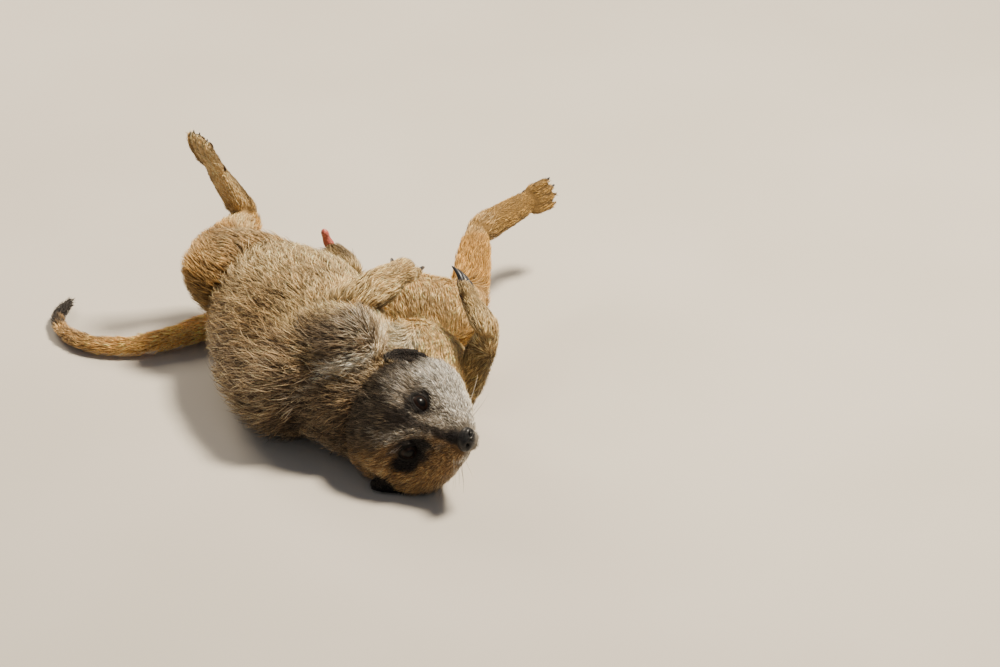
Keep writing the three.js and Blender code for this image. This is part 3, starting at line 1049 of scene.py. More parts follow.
HEAD_STROKES = (
    # Tan with painted shade on the head's right side, which is turned from the light.
    Stroke(Kind.JOWL_AND_SHADE, ((-26, -16, 10, 8), (-14.8, -17, 11, 8), (-8, -21, 6, 8), (2, -24, -3, 9)), 0.7, 0.6),
    Stroke(Kind.JOWL_AND_SHADE, ((2, -24, -3, 9), (10, -18, -6, 8), (18, -11, -6, 5.5), (24, -7, -9, 4)), 0.9, 0.5),
    Stroke(
        Kind.CHEEK, ((-14, 27, -8, 7), (-4, 26, -6, 7), (6, 22, -6, 7), (13, 17, -8, 6.5), (20, 11, -9, 5))
    ),
    Stroke(Kind.MUZZLE, ((8, 13, -3, 3), (15, 8, -2.5, 3.5), (20, 6.5, -5, 3.5), (24, 7.5, -8.5, 3)), 0.9),
    Stroke(
        Kind.CROWN,
        (
            (-34, 2, 13, 10), (-25, 5, 15, 12), (-15, 5, 14, 12),
            (-7, 3, 12, 8), (0, 2, 10, 5.5), (6, 3, 6.5, 3),
        ),
        0.95, 0.35,
    ),
    Stroke(Kind.CROWN, ((-26, 19, 10, 7), (-18, 20, 9, 5.5), (-12, 21, 7, 3)), 0.75, 0.4),
    Stroke(Kind.BROW, ((-12, 19, 8, 3), (-5.5, 13.2, 10, 2.6), (-1, 10.5, 8.8, 2.2), (6, 7, 4.5, 1.8)), 0.8),
    # Tan with painted shade on the right side of the muzzle.
    Stroke(
        Kind.JOWL_AND_SHADE, ((6, -5.5, 6.5, 3), (12, -4.6, 2.5, 3), (18, -4.3, -2, 3), (23, -4.8, -5.5, 3)), 0.9, 0.5
    ),
    Stroke(Kind.CROWN, ((-30, -10, 13, 7), (-18, -9.5, 14, 6), (-9, -9.5, 12.6, 4)), 0.8, 0.5),
    Stroke(
        Kind.BROW,
        ((-4, -8.8, 11, 1.6), (-0.5, -7.2, 10, 2.4), (3, -4.4, 8.4, 2.6), (6.8, -1, 6.3, 1.5)),
        1.0, 0.5,
    ),
    Stroke(
        Kind.BRIDGE,
        ((0, 2, 10, 4), (5, 2.4, 6.4, 3.2), (10.3, 1.6, 3.5, 2.8), (15.8, 0.7, -0.4, 2.8)),
        0.95, 0.45,
    ),
    Stroke(
        Kind.BRIDGE, ((15.8, 0.7, -0.4, 2.2), (19.2, 0.1, -2.6, 3.2), (24, 0, -4.4, 4.4), (27, 0, -5.4, 5))
    ),
    Stroke(Kind.MASK, ((18, 0, -2, 0.8), (22, 0, -3.6, 2.6), (26, 0, -5, 4.6))),
    Stroke(Kind.CHEEK, ((33, 0, -15.5, 2.8), (28, 5, -15.5, 3), (20, 9, -16.5, 2.5), (10, 12.5, -17, 2))),
    Stroke(Kind.CHEEK, ((33, 0, -15.5, 2.8), (31.5, -1.5, -15.2, 2.4)), 0.7),
    Stroke(Kind.CHEEK, ((24, -9.5, -14, 0.9), (21, -12.4, -12, 1.1), (18, -14, -12, 1)), 0.25, 0.6),
    # Tan with painted shade on the right of the muzzle and chin.
    Stroke(Kind.JOWL_AND_SHADE, ((12, -8, 1, 3), (17, -7.5, -3.5, 3.5), (22, -8, -7, 3)), 0.9, 0.5),
    Stroke(Kind.JOWL_AND_SHADE, ((17, -15, -11, 3), (20.5, -12.6, -10.5, 3.4), (24, -9.6, -10.8, 2.6)), 0.85, 0.6),
    Stroke(
        Kind.EAR,
        ((-23, 27, 5, 3.2), (-17.5, 26.5, 3, 4.2), (-12.5, 26.8, 0.5, 4), (-11, 28.6, -4, 2.8)),
        0.92, 0.4,
    ),
    Stroke(Kind.MASK, ((-7.5, 22.4, 3.2, 0.7), (-4, 19, 4, 1.1), (-1, 15.5, 3.2, 2.8), (2.5, 12.6, 2, 5.4))),
    Stroke(Kind.MASK, ((2.5, 12.6, 2, 5.6), (9, 8.6, 0.5, 3), (12.8, 8.4, -1.8, 1.2))),
    Stroke(
        Kind.MASK,
        (
            (-1, -16.5, 0, 4.4), (2.5, -13.6, 1, 6.6), (6.5, -10.6, 1, 6.2),
            (10.5, -8, 0, 3.8), (14.8, -7.2, -2.7, 1.6),
        ),
    ),
)
BODY_STROKES = (
    Stroke(Kind.SHADOW, ((-50, 42, 62, 6), (-42, 34, 63, 8), (-33, 27, 58, 6)), 0.6),
    Stroke(Kind.SHADOW, ((-16, 66, 58, 4), (-20, 58, 62, 3.5)), 0.7),
    Stroke(Kind.THROAT, ((-14, 44, 56, 5), (-6, 52, 52, 7), (-10, 60, 51, 5)), 0.9),
    Stroke(
        Kind.STREAK,
        (
            (-12, 34, 55, 3), (-20, 30, 53, 4), (-28, 27.7, 51, 5),
            (-38.5, 24.9, 47, 4.6), (-48, 25, 40, 3.6), (-57, 28, 30, 2),
        ),
        0.9, 0.5,
    ),
    Stroke(
        Kind.SHADOW,
        ((-20, 16, 44, 4), (-32.4, 16.1, 38.4, 5), (-44.6, 20, 32, 5), (-54, 30, 18, 5)),
        0.6, 0.6,
    ),
    Stroke(Kind.NAPE, ((-16, 33, 60, 4), (-24, 36, 65, 5)), 0.8),
    Stroke(Kind.NAPE, ((-19, 27, 51, 3.5), (-22, 24, 49, 4.5), (-27, 20, 44.6, 4.5)), 0.85, 0.5),
    Stroke(Kind.SHADOW, ((-36, 14, 22, 7), (-45, 18, 20, 8), (-56, 30, 14, 9), (-66, 44, 8, 8)), 0.6, 0.6),
    # Painted light on the raised left shank, which faces away from the key light.
    Stroke(
        Kind.PAINTED_LIGHT_GOLD,
        ((-111, 162, 102, 7), (-103, 161, 90, 9), (-94, 164, 72, 10), (-88, 160, 63, 8)),
        0.85, 0.5,
    ),
    Stroke(Kind.SHADOW, ((-32, 125, 59, 4), (-37, 131, 60.5, 4.5), (-43, 135, 60, 5)), 0.6, 0.6),
    # Painted shadow of the raised forearm on the belly, in the back's darker coat.
    Stroke(Kind.BACK, ((-72, 78, 66, 6), (-62, 80, 70, 9), (-50, 79, 72, 7)), 0.5, 0.8),
    Stroke(Kind.HIP, ((-10, 115, 44, 6), (3, 114.5, 44, 7), (14, 112, 42, 5)), 0.5, 0.8),
    Stroke(Kind.FOREARM, ((-20, 66, 74, 8), (-8, 74, 75, 8)), 0.5, 0.8),
    Stroke(Kind.SPOT, ((-62.9, 68, 66.6, 2.2), (-62.7, 68.2, 66.6, 2.2))),
    Stroke(Kind.SPOT, ((-62.7, 80, 69.7, 1.8), (-62.6, 79.8, 69.7, 1.8)), 0.9),
)


# For each region, how far the hair rises, in radians, and how wide a tuft is, in millimetres.
LIFTS = rows(0.3, 0.35, 0.42, 0.46, 0.36, 0.3, 0.22, 0.36, 0.3, 0.22, 0.3, 0.3)
WIDTHS = rows(0.34, 0.36, 0.56, 0.6, 0.5, 0.42, 0.36, 0.5, 0.42, 0.36, 0.46, 0.4)


@dataclass
class Fields:
    """What the coat is like at each corner of the skin: its place, facing, lie, sizes and colours.

    The regions are the share of each region, the colours are rows as Fur holds them, and the density
    is 1 where the coat is full and 0 where the skin is bare.
    """

    points: Array
    normals: Array
    flow: Array
    length: Array
    lift: Array
    width: Array
    colours: Array
    regions: Array
    density: Array

    def pick(self, corners: Array, shares: Array) -> Fields:
        """The fields at places on faces, given each place's corners and their shares."""

        def mean(values: Array) -> Array:
            """The corners' values weighed by the shares."""
            return np.einsum("nk,nk...->n...", shares, values[corners])

        ways = (mean(self.points), unit(mean(self.normals)), unit(mean(self.flow)))
        sizes = (mean(self.length), mean(self.lift), mean(self.width))
        return Fields(*ways, *sizes, mean(self.colours), mean(self.regions), mean(self.density))


@dataclass
class Coating:
    """Works out the lie, the length and the colours of the coat at each corner of the skin.

    Attributes:
        anatomy: the lengths of the body.
        skin: the skin.
        drape: the way that the long hair sinks, off the animal's left flank.
    """

    anatomy: Anatomy
    skin: Object
    drape: Triple = (-0.95, 0.05, -0.35)

    def fields(self) -> Fields:
        """All that the coat is at the skin's corners."""
        mesh = self.skin.data
        points = read_points(mesh) / MM - SHIFT
        normals = corner_normals(points, read_faces(mesh))
        local = HEAD.read(points)
        weights = np.zeros((len(points), len(Region)))
        heading = np.zeros_like(points)
        length = np.zeros(len(points))
        total = np.zeros(len(points))
        self.places: dict[Region, tuple[Array, Array]] = {}
        from_ears = np.full(len(points), 99.0)
        creases = np.zeros(len(points))
        shaded_soles = np.zeros(len(points))
        for limb in self.anatomy.limbs():
            outside, share, wide, deep, ahead = limb.read(points)
            if limb.region is Region.EAR:
                from_ears = np.minimum(from_ears, outside)
            if limb.toe:
                flank = step(np.abs(wide), 0.7, 1.05) * step(outside, 2.0, 0.5) * step(share, 0.1, 0.4)
                creases = np.maximum(creases, flank)
            if limb.region is Region.FOOT:
                # The sole side of each hind foot, for the dark sole colour with painted shade.
                shaded_soles = np.maximum(shaded_soles, step(deep, -0.1, -0.7) * step(outside, 2.0, 0.5))
            weight = np.exp(-np.maximum(outside, 0) / limb.soft) * step(share, *limb.takes)
            column = limb.region.value
            weights[:, column] = np.maximum(weights[:, column], weight)
            heading += ahead * (weight * limb.runs)[:, None]
            length += weight * between(*limb.hair, share)
            total += weight
            self.places.setdefault(limb.region, (share, deep))
        length /= total
        weights /= weights.sum(1, keepdims=True)
        flow, length = self.comb(points, normals, local, weights, heading, length)
        length *= between(0.4, 1.0, step(from_ears, 0.5, 8))
        flow = squared(smoothed(flow, read_edges(mesh), 24), normals)
        colours = self.paint(points, normals, local, weights)
        # Dark soles: partly their own colour, partly painted shade.
        colours = Kind.SOLE_AND_SHADE.over(colours, 0.85 * shaded_soles)
        colours = Kind.SHADOW.over(colours, 0.65 * creases)
        belly = step(self.places[Region.TRUNK][1], 0.1, 0.6) * Region.TRUNK.of(weights)
        lift = weights @ LIFTS
        lift *= (1 - 0.45 * belly) * (1 - 0.35 * self.inner(points, normals, weights))
        ahead, left, up = local.T
        fringe = np.maximum(step(-left, 12, 20), 1.6 * step(left, 18, 25)) * step(ahead, 20, 10)
        brim = step(up, -10, -15) * step(left, 10, 16) * step(ahead, 26, 16)
        lift *= 1 + 1.4 * Region.HEAD.of(weights) * np.maximum(fringe, 0.6 * brim)
        lift *= 1 + 0.6 * step(points[:, 0], -82, -100) * step(points[:, 2], 76, 60)
        sizes = (length, lift, weights @ WIDTHS)
        return Fields(points, normals, flow, *sizes, colours, weights, self.thickness(local))

    def comb(
        self, points: Array, normals: Array, local: Array, weights: Array, heading: Array, length: Array
    ) -> tuple[Array, Array]:
        """The lie and the length of the hair.

        Args:
            points: the corners in the pose frame.
            normals: their normals.
            local: the corners in the head's frame.
            weights: the share of each region.
            heading: the way along the lengths of the body.
            length: the hair's length along them.

        Returns:
            The way that the hair lies, at length one, and its length in millimetres. On the head the
            hair runs away from the nose, long hair sinks off the left flank, and the hair is short on
            the belly. On the upper faces of the right arm and thigh it runs towards the head, and
            beside the right elbow it lies down over the fold.
        """
        flow = unit(heading)
        nose_tip = (30, 0, -10)
        spread = unit(local - nose_tip)
        spread[:, 0] -= 0.2
        back = unit(spread) @ HEAD.axes
        head = Region.HEAD.of(weights)
        flow = mixed(flow, back, head)
        _, deep = self.places[Region.TRUNK]
        _, nape = self.places[Region.NECK]
        dorsal = step(deep, 0.5, -0.6)
        sink = Region.TRUNK.of(weights) * between(0.15, 1.0, dorsal)
        sink += Region.NECK.of(weights) * 1.6 + Region.THIGH.of(weights) * 0.1
        drape = rows(*self.drape) + step(points[:, 1], 60, 140)[:, None] * rows(0, 0.5, 0.35)
        flow = flow + sink[:, None] * unit(drape)
        length = length * (1 - Region.TRUNK.of(weights) * 0.55 * (1 - dorsal))
        length = length * (1 - Region.NECK.of(weights) * 0.35 * step(nape, -0.2, 0.7))
        inner = self.inner(points, normals, weights)
        flow = mixed(flow, rows(0.1, -1, -0.15), inner * (1 - Region.FOREARM.of(weights)))
        length = length * (1 - 0.15 * inner)
        elbow, reach = (26, 45, 37), 13
        whorl = np.exp(-(((points - elbow) / reach) ** 2).sum(1))
        flow = mixed(flow, rows(-0.6, -0.4, -0.7), np.minimum(1, 1.3 * whorl))
        crown_hair, muzzle_hair = 7.4, 2.2
        face = between(crown_hair, muzzle_hair, step(local[:, 0], -14, 12))
        fringe = step(local[:, 2], 0, -8) * step(np.abs(local[:, 1]), 9, 18)
        face = face * (1 + 0.5 * fringe)
        length = between(length, face, head)
        return squared(flow, normals), length

    def inner(self, points: Array, normals: Array, weights: Array) -> Array:
        """1 on the upper faces of the right arm and thigh, which carry the breast's coat."""
        upper = Region.ARM.of(weights) + Region.THIGH.of(weights)
        upper = upper + 0.8 * Region.FOREARM.of(weights) * step(points[:, 0], 24, 17)
        return step(upper, 0.2, 0.6) * step(points[:, 0], -28, -12) * step(normals[:, 2], -0.7, -0.1)

    def thickness(self, local: Array) -> Array:
        """How thick the coat grows: 1 for most of it, and 0 on the lids and the nose."""
        density = np.ones(len(local))
        for sign in (1.0, -1.0):
            away, angle, turn = EYE.read(local, sign)
            bare = step(angle - EYE.opening(turn), 0.3, 0.12) * step(away, 10, 8)
            density *= 1 - bare
        nose = np.linalg.norm((local - NOSE_PLACE) / (5.2, 6.6, 5.2), axis=1)
        return density * step(nose, 1.0, 1.08)

    def paint(self, points: Array, normals: Array, local: Array, weights: Array) -> Array:
        """The coat's colours and markings, with its painted shade and light, as rows of ten numbers, as Fur
        holds them.
        """
        wander = Ripple(26, 5)(points)
        fine = Ripple(9, 6)(points)
        paint = self.paint_body(points, normals, weights, wander, fine)
        head = self.paint_head(local, wander, fine)
        paint = mixed(paint, head, step(Region.HEAD.of(weights), 0.25, 0.6))
        return Kind.EAR.over(paint, step(Region.EAR.of(weights), 0.3, 0.6))

    def paint_body(self, points: Array, normals: Array, weights: Array, wander: Array, fine: Array) -> Array:
        """The colours from the neck to the tail."""
        share, deep = self.places[Region.TRUNK]
        deep = deep + 0.1 * wander
        count = len(points)
        paint = Kind.BACK.all_over(count)
        paint = Kind.RUFOUS.over(paint, step(share, 0.3, 0.05) * step(deep, 0.2, -0.4) * 0.8)
        # The back's side towards the floor is darker: partly the back's own darker coat, partly painted
        # shade.
        paint = Kind.RUFOUS.over(paint, step(deep, -0.35, -0.85) * 0.5)
        paint = Kind.HIP.over(paint, step(share, 0.5, 0.72) * step(deep, -0.95, -0.6))
        bars = bell((np.mod(share * 17 + 0.2 * wander, 1) - 0.5) / 0.2)
        paint = Kind.STRIPE.over(paint, bars * step(deep, -0.72, -0.9) * step(share, 0.3, 0.45))
        paint = Kind.BELLY.over(paint, step(deep, -0.3, 0.4))
        paint = Kind.BREAST.over(paint, step(deep, 0.35, 0.8) * step(share, 0.5, 0.25) * 0.7)

        def over(kind: Kind, *regions: Region) -> None:
            """Lays a kind over some regions."""
            nonlocal paint
            weight = sum(region.of(weights) for region in regions)
            paint = kind.over(paint, step(weight + 0.06 * fine, 0.3, 0.75))

        _, nape = self.places[Region.NECK]
        neck = Kind.NAPE.all_over(count)
        neck = Kind.THROAT.over(neck, step(nape + 0.1 * fine, 0.1, 0.6))
        neck = Kind.RUFOUS.over(neck, step(nape + 0.2 * wander, 0.2, -0.3) * 0.75)
        paint = mixed(paint, neck, step(Region.NECK.of(weights), 0.2, 0.8))
        over(Kind.FOREARM, Region.ARM, Region.FOREARM)
        over(Kind.LIMB, Region.THIGH, Region.SHANK)
        rear = Region.THIGH.of(weights) * step(points[:, 0], -45, -70)
        paint = Kind.BACK.over(paint, rear * step(points[:, 2] + 4 * wander, 66, 44) * 0.85)
        paint = Kind.HIP.over(paint, rear * step(points[:, 2], 46, 62) * 0.75)
        upward = step(normals[:, 2] + 0.15 * wander, -0.5, 0.1)
        paint = Kind.BREAST.over(paint, self.inner(points, normals, weights) * upward)
        over(Kind.FOREARM, Region.PAW)
        over(Kind.FOOT, Region.FOOT)
        along, _ = self.places[Region.TAIL]
        # The tail's base: its orange coat, made paler as painted light.
        tail = Kind.TAIL_BASE_AND_LIGHT.all_over(count)
        tail = Kind.TAIL.over(tail, step(along, 0.5, 0.72))
        tail = Kind.TAIL_TIP.over(tail, step(along + 0.02 * fine, 0.78, 0.86))
        paint = mixed(paint, tail, step(Region.TAIL.of(weights), 0.3, 0.7))
        paint = Kind.FOREARM.over(paint, step(Region.SHEATH.of(weights), 0.3, 0.7))
        for stroke in BODY_STROKES:
            paint = stroke.over(paint, points, fine)
        return paint

    def paint_head(self, local: Array, wander: Array, fine: Array) -> Array:
        """The colours of the head: dark crown, mask and muzzle on pale cheeks, and a tan right side darkened
        as painted shade.
        """
        ahead, left, up = local.T
        paint = Kind.BROW.all_over(len(local))
        low = step(up + 0.25 * ahead + 1.0 * wander, -1, -8)
        paint = Kind.CHEEK.over(paint, low * step(ahead, -22, -10))
        # The right side of the head takes the tan coat, darkened as painted shade.
        paint = Kind.JOWL_AND_SHADE.over(paint, step(left + 2 * fine, -3, -17) * 0.85)
        chin = step(up, -15, -20) * between(0.45, 1.0, step(left, -6, 2))
        paint = Kind.THROAT.over(paint, chin)
        paint = Kind.NAPE.over(paint, step(ahead, -22, -34) * 0.8)
        for stroke in HEAD_STROKES:
            paint = stroke.over(paint, local, fine)
        return paint


# ---- the coat ----
@dataclass(frozen=True)
class Coat:
    """One piece of the coat: tufts that grow from a part of the skin.

    Attributes:
        name: the piece's name.
        slot: the record's material slot. Not used.
        regions: the regions it covers.
        count: how many tufts it has.
        rings: the shares of a tuft's length at which it has a ring. Its tip is a point.
        clump: the width of a lock, in millimetres.
        gather: the share of the way that the tips of a lock draw together.
        stray: how far the tufts turn aside at random, in radians.
        reach: the tufts' length beside that of the coat's fields.
        fine: their width beside it.
        raised: their lift beside it.
        curl: how far they curl aside, as a share of their length.
        contrast: how much the tufts and locks differ in tone.
    """

    name: str
    slot: str
    regions: tuple[Region, ...]
    count: int
    rings: tuple[float, ...] = (0.0, 0.5)
    clump: float = 3.0
    gather: float = 0.4
    stray: float = 0.18
    reach: float = 1.0
    fine: float = 1.0
    raised: float = 1.0
    curl: float = 0.1
    contrast: float = 1.0

    def roots(self, draw: np.random.Generator, fields: Fields, faces: Array) -> tuple[Array, Array]:
        """Places on the skin's faces, even over the coat's area and fewer where it lies on the floor.

        Args:
            draw: the source of random numbers.
            fields: the coat at the skin's corners.
            faces: the skin's triangles.

        Returns:
            The number of each root's face, and the shares of its three corners.
        """
        a, b, c = (fields.points[faces[:, corner]] for corner in range(3))
        area = np.linalg.norm(np.cross(b - a, c - a), axis=1)
        cover = fields.regions[:, [region.value for region in self.regions]].sum(1) * fields.density
        pressed = between(0.25, 1.0, step(fields.points[:, 2], 1.5, 6))
        weight = area * (cover * pressed)[faces].mean(1)
        total = np.cumsum(weight)
        spots = (np.arange(self.count) + draw.random(self.count)) / self.count * total[-1]
        chosen = np.minimum(np.searchsorted(total, spots), len(faces) - 1)
        first, second = draw.random((2, self.count))
        over = first + second > 1
        first, second = np.where(over, 1 - first, first), np.where(over, 1 - second, second)
        return chosen, np.stack([1 - first - second, first, second], 1)

    def grow(self, number: int, fields: Fields, faces: Array, maps: Array) -> Object:
        """Grows the tufts.

        Each is a thin roof-shaped blade whose middle rises from the skin at its lift and lies down
        again towards the tip, turned aside at random and drawn to the middle of its lock.

        Args:
            number: the seed.
            fields: the coat at the skin's corners.
            faces: the skin's triangles.
            maps: where each corner of each face lies on the skin's unwrap, (n, 3, 2).

        Returns:
            The piece.
        """
        draw = np.random.default_rng(number)
        chosen, shares = self.roots(draw, fields, faces)
        here = fields.pick(faces[chosen], shares)
        home = np.einsum("nk,nkd->nd", shares, maps[chosen])
        count = self.count
        flow = squared(here.flow, here.normals)
        side = np.cross(here.normals, flow)
        bend = self.stray * (draw.normal(size=count) * 0.6 + Ripple(11, number + 40)(here.points) * 0.7)
        flow = flow * np.cos(bend)[:, None] + side * np.sin(bend)[:, None]
        side = np.cross(here.normals, flow)
        length = self.reach * here.length * draw.uniform(0.72, 1.18, count)
        uneven = 1 + 0.3 * draw.normal(size=count) * 0.7 + 0.25 * Ripple(7, number + 60)(here.points)
        lift = np.clip(self.raised * here.lift * uneven, 0.06, 1.0)
        centre, mark = cell_centres(here.points, self.clump, number * 1.7)
        drawn = centre - here.points
        drawn = (drawn - dot(drawn, here.normals)[:, None] * here.normals) * self.gather
        curl = draw.normal(0, self.curl, count) * length

        stations = np.array([*self.rings, 1.0])[None, :, None]
        along = stations * np.cos(lift * 0.8)[:, None, None]
        steep = np.sin(lift)[:, None, None]
        rise = stations * steep - 0.55 * stations**2 * steep
        size = length[:, None, None]
        middle = here.points[:, None] - here.normals[:, None] * 0.25
        middle = middle + flow[:, None] * along * size + here.normals[:, None] * rise * size
        middle = middle + side[:, None] * curl[:, None, None] * stations**2
        middle = middle + drawn[:, None] * stations**1.3

        width = (self.fine * here.width * draw.uniform(0.75, 1.25, count))[:, None, None]
        taper = np.interp(stations, [0, 0.3, 0.7, 1], [0.75, 1.0, 0.62, 0.0])
        half = side[:, None] * width * taper / 2
        crest = here.normals[:, None] * width * taper * 0.45
        rings = np.stack([middle - half, middle + half, middle + crest], 2)[:, :-1]
        tip = middle[:, -1:]
        corners = np.concatenate([rings.reshape(count, -1, 3), tip], 1)
        corners[..., 2] = soft_floor(corners[..., 2], 0.25, 0.2)
        return self.assemble(corners, self.shade(draw, here, mark), home)

    def shade(self, draw: np.random.Generator, here: Fields, mark: Array) -> Array:
        """Colours at each ring and the tip of each tuft, (n, rings + 1, 3).

        They run from root to tip by way of the middle. A ticked tuft's tip is dark, each tuft and each
        lock is a little lighter or darker than its neighbours, and one lock in four stands out pale.
        """
        count = self.count
        root, middle, tip = here.colours[:, :3], here.colours[:, 3:6], here.colours[:, 6:9]
        ticked = draw.random(count) < here.colours[:, 9]
        tip = np.where(ticked[:, None], root * 0.8, tip)
        middle = np.where(ticked[:, None], middle * 0.92, middle)
        share = np.array([*self.rings, 1.0])[None, :, None]
        half_way = 0.45
        low = np.clip(share / half_way, 0, 1)
        high = np.clip((share - half_way) / 0.55, 0, 1)
        colours = root[:, None] + (middle - root)[:, None] * low + (tip - middle)[:, None] * high
        bold = self.contrast * between(0.5, 1.0, step(here.colours[:, 9], 0.02, 0.14))
        tone = 1 + bold * (0.2 * draw.normal(size=count) + 0.6 * (mark - 0.5))
        pale_share = 0.24
        pale = np.mod(mark * 7.3 + 0.3 * draw.random(count), 1) < pale_share
        tone = tone * np.where(pale, 1 + 0.4 * bold, 1 - 0.08 * bold)
        warm = draw.normal(0, 0.03, count)
        tint = np.stack([1 + warm, np.ones(count), 1 - warm * 1.5], 1)
        return colours * (np.clip(tone, 0.3, 1.9)[:, None] * tint)[:, None]

    def assemble(self, corners: Array, colours: Array, home: Array) -> Object:
        """Puts the tufts into one mesh.

        Args:
            corners: each tuft's points: three for each ring and then the tip, (n, k, 3).
            colours: each tuft's colours at its rings and tip.
            home: the place of each root on the skin's unwrap, (n, 2).

        Returns:
            The piece, with its colours and its map, on which each tuft is a patch 0.003 across.
        """
        count, size = corners.shape[:2]
        rings = len(self.rings)
        pattern = [(0, 2, 1)]
        for ring in range(rings - 1):
            for edge in range(3):
                a, b = 3 * ring + edge, 3 * ring + (edge + 1) % 3
                pattern += [(a, b, b + 3), (a, b + 3, a + 3)]
        top = 3 * (rings - 1)
        pattern += [(top + edge, top + (edge + 1) % 3, size - 1) for edge in range(3)]
        block = np.array(pattern)
        faces = (np.arange(count)[:, None, None] * size + block).reshape(-1, 3)
        mesh = make_mesh(self.name, placed(corners.reshape(-1, 3)), faces)
        spread = np.concatenate([np.repeat(colours[:, :rings], 3, axis=1), colours[:, rings:]], 1)
        colour_in(mesh, spread.reshape(-1, 3))
        patch = 0.003
        across = np.concatenate([np.tile([-0.5, 0.5, 0.0], rings), [0.0]])
        along = np.concatenate([np.repeat(self.rings, 3), [1.0]]) - 0.5
        spots = home[:, None] + np.stack([across, along], 1) * patch
        flat = np.clip(spots.reshape(-1, 2), 0, 1)[faces.ravel()]
        mesh.uv_layers.new(name=MAP).data.foreach_set("uv", flat.astype(np.float32).ravel())
        made = make_object(self.name, mesh)
        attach(made, BODY)
        return made


LONG = (0.0, 0.3, 0.65)
SHORT = (0.0, 0.5)
LEGS_FRONT = (Region.ARM, Region.FOREARM, Region.PAW)
LEGS_HIND = (Region.THIGH, Region.SHANK, Region.FOOT)
HEAD_ONLY, NECK_ONLY, TRUNK_ONLY = (Region.HEAD,), (Region.NECK,), (Region.TRUNK,)
# A row is a Coat's attributes in their order: after the rings come the clump, gather, stray, reach,
# fine, raised, curl and contrast.
COATS = (
    Coat("coat_face", "head_fur", HEAD_ONLY, 19800, SHORT, 1.5, 0.35, 0.1, 1.0, 1.0, 0.9, 0.03, 1.6),
    Coat("coat_face_fine", "head_fur", HEAD_ONLY, 14000, SHORT, 1.1, 0.3, 0.15, 1.25, 0.7, 1.2, 0.04, 1.8),
    Coat("coat_ears", "dark_fur", (Region.EAR,), 3500, SHORT, 1.6, 0.2, 0.3, 1.2),
    Coat("coat_neck", "body_fur", NECK_ONLY, 11500, LONG, 2.4, 0.75, 0.24, 1.0, 1.0, 1.0, 0.08, 1.5),
    Coat("coat_neck_guard", "body_fur", NECK_ONLY, 7000, LONG, 1.8, 0.5, 0.36, 1.25, 0.7, 1.45, 0.12, 1.5),
    Coat("coat_back", "body_fur", TRUNK_ONLY, 12300, LONG, 2.8, 0.75, 0.24, 1.0, 1.0, 1.0, 0.08, 1.4),
    Coat("coat_back_guard", "body_fur", TRUNK_ONLY, 11000, LONG, 1.9, 0.5, 0.36, 1.45, 0.7, 1.7, 0.12, 1.4),
    Coat("coat_arms", "leg_fur", LEGS_FRONT, 19500, SHORT, 1.7, 0.5, 0.2, 1.15, 0.9, 1.0, 0.05, 1.3),
    Coat("coat_legs", "leg_fur", LEGS_HIND, 19500, SHORT, 2.0, 0.45, 0.2, 1.3, 0.9, 1.15, 0.06, 1.1),
    Coat("coat_tail", "leg_fur", (Region.TAIL, Region.SHEATH), 9000, SHORT, 2.4, 0.4, 0.2),
)


# ---- shaders ----
@dataclass(frozen=True)
class Value:
    """A number's socket that Python's operators work on. Each one adds a Math node."""

    shade: Shade
    socket: Socket

    def _math(self, operation: str, first: object, second: object) -> Value:
        """The Math node of an operation on two numbers or sockets."""
        made = self.shade.node("Math", {"operation": operation}, {0: first, 1: second})
        return Value(self.shade, made)

    def __add__(self, other: Value | float) -> Value:
        """The sum."""
        return self._math("ADD", self, other)

    __radd__ = __add__

    def __mul__(self, other: Value | float) -> Value:
        """The product."""
        return self._math("MULTIPLY", self, other)

    __rmul__ = __mul__

    def __rsub__(self, other: float) -> Value:
        """A number less this one."""
        return self._math("SUBTRACT", other, self)

    def __pow__(self, other: float) -> Value:
        """The power."""
        return self._math("POWER", self, other)


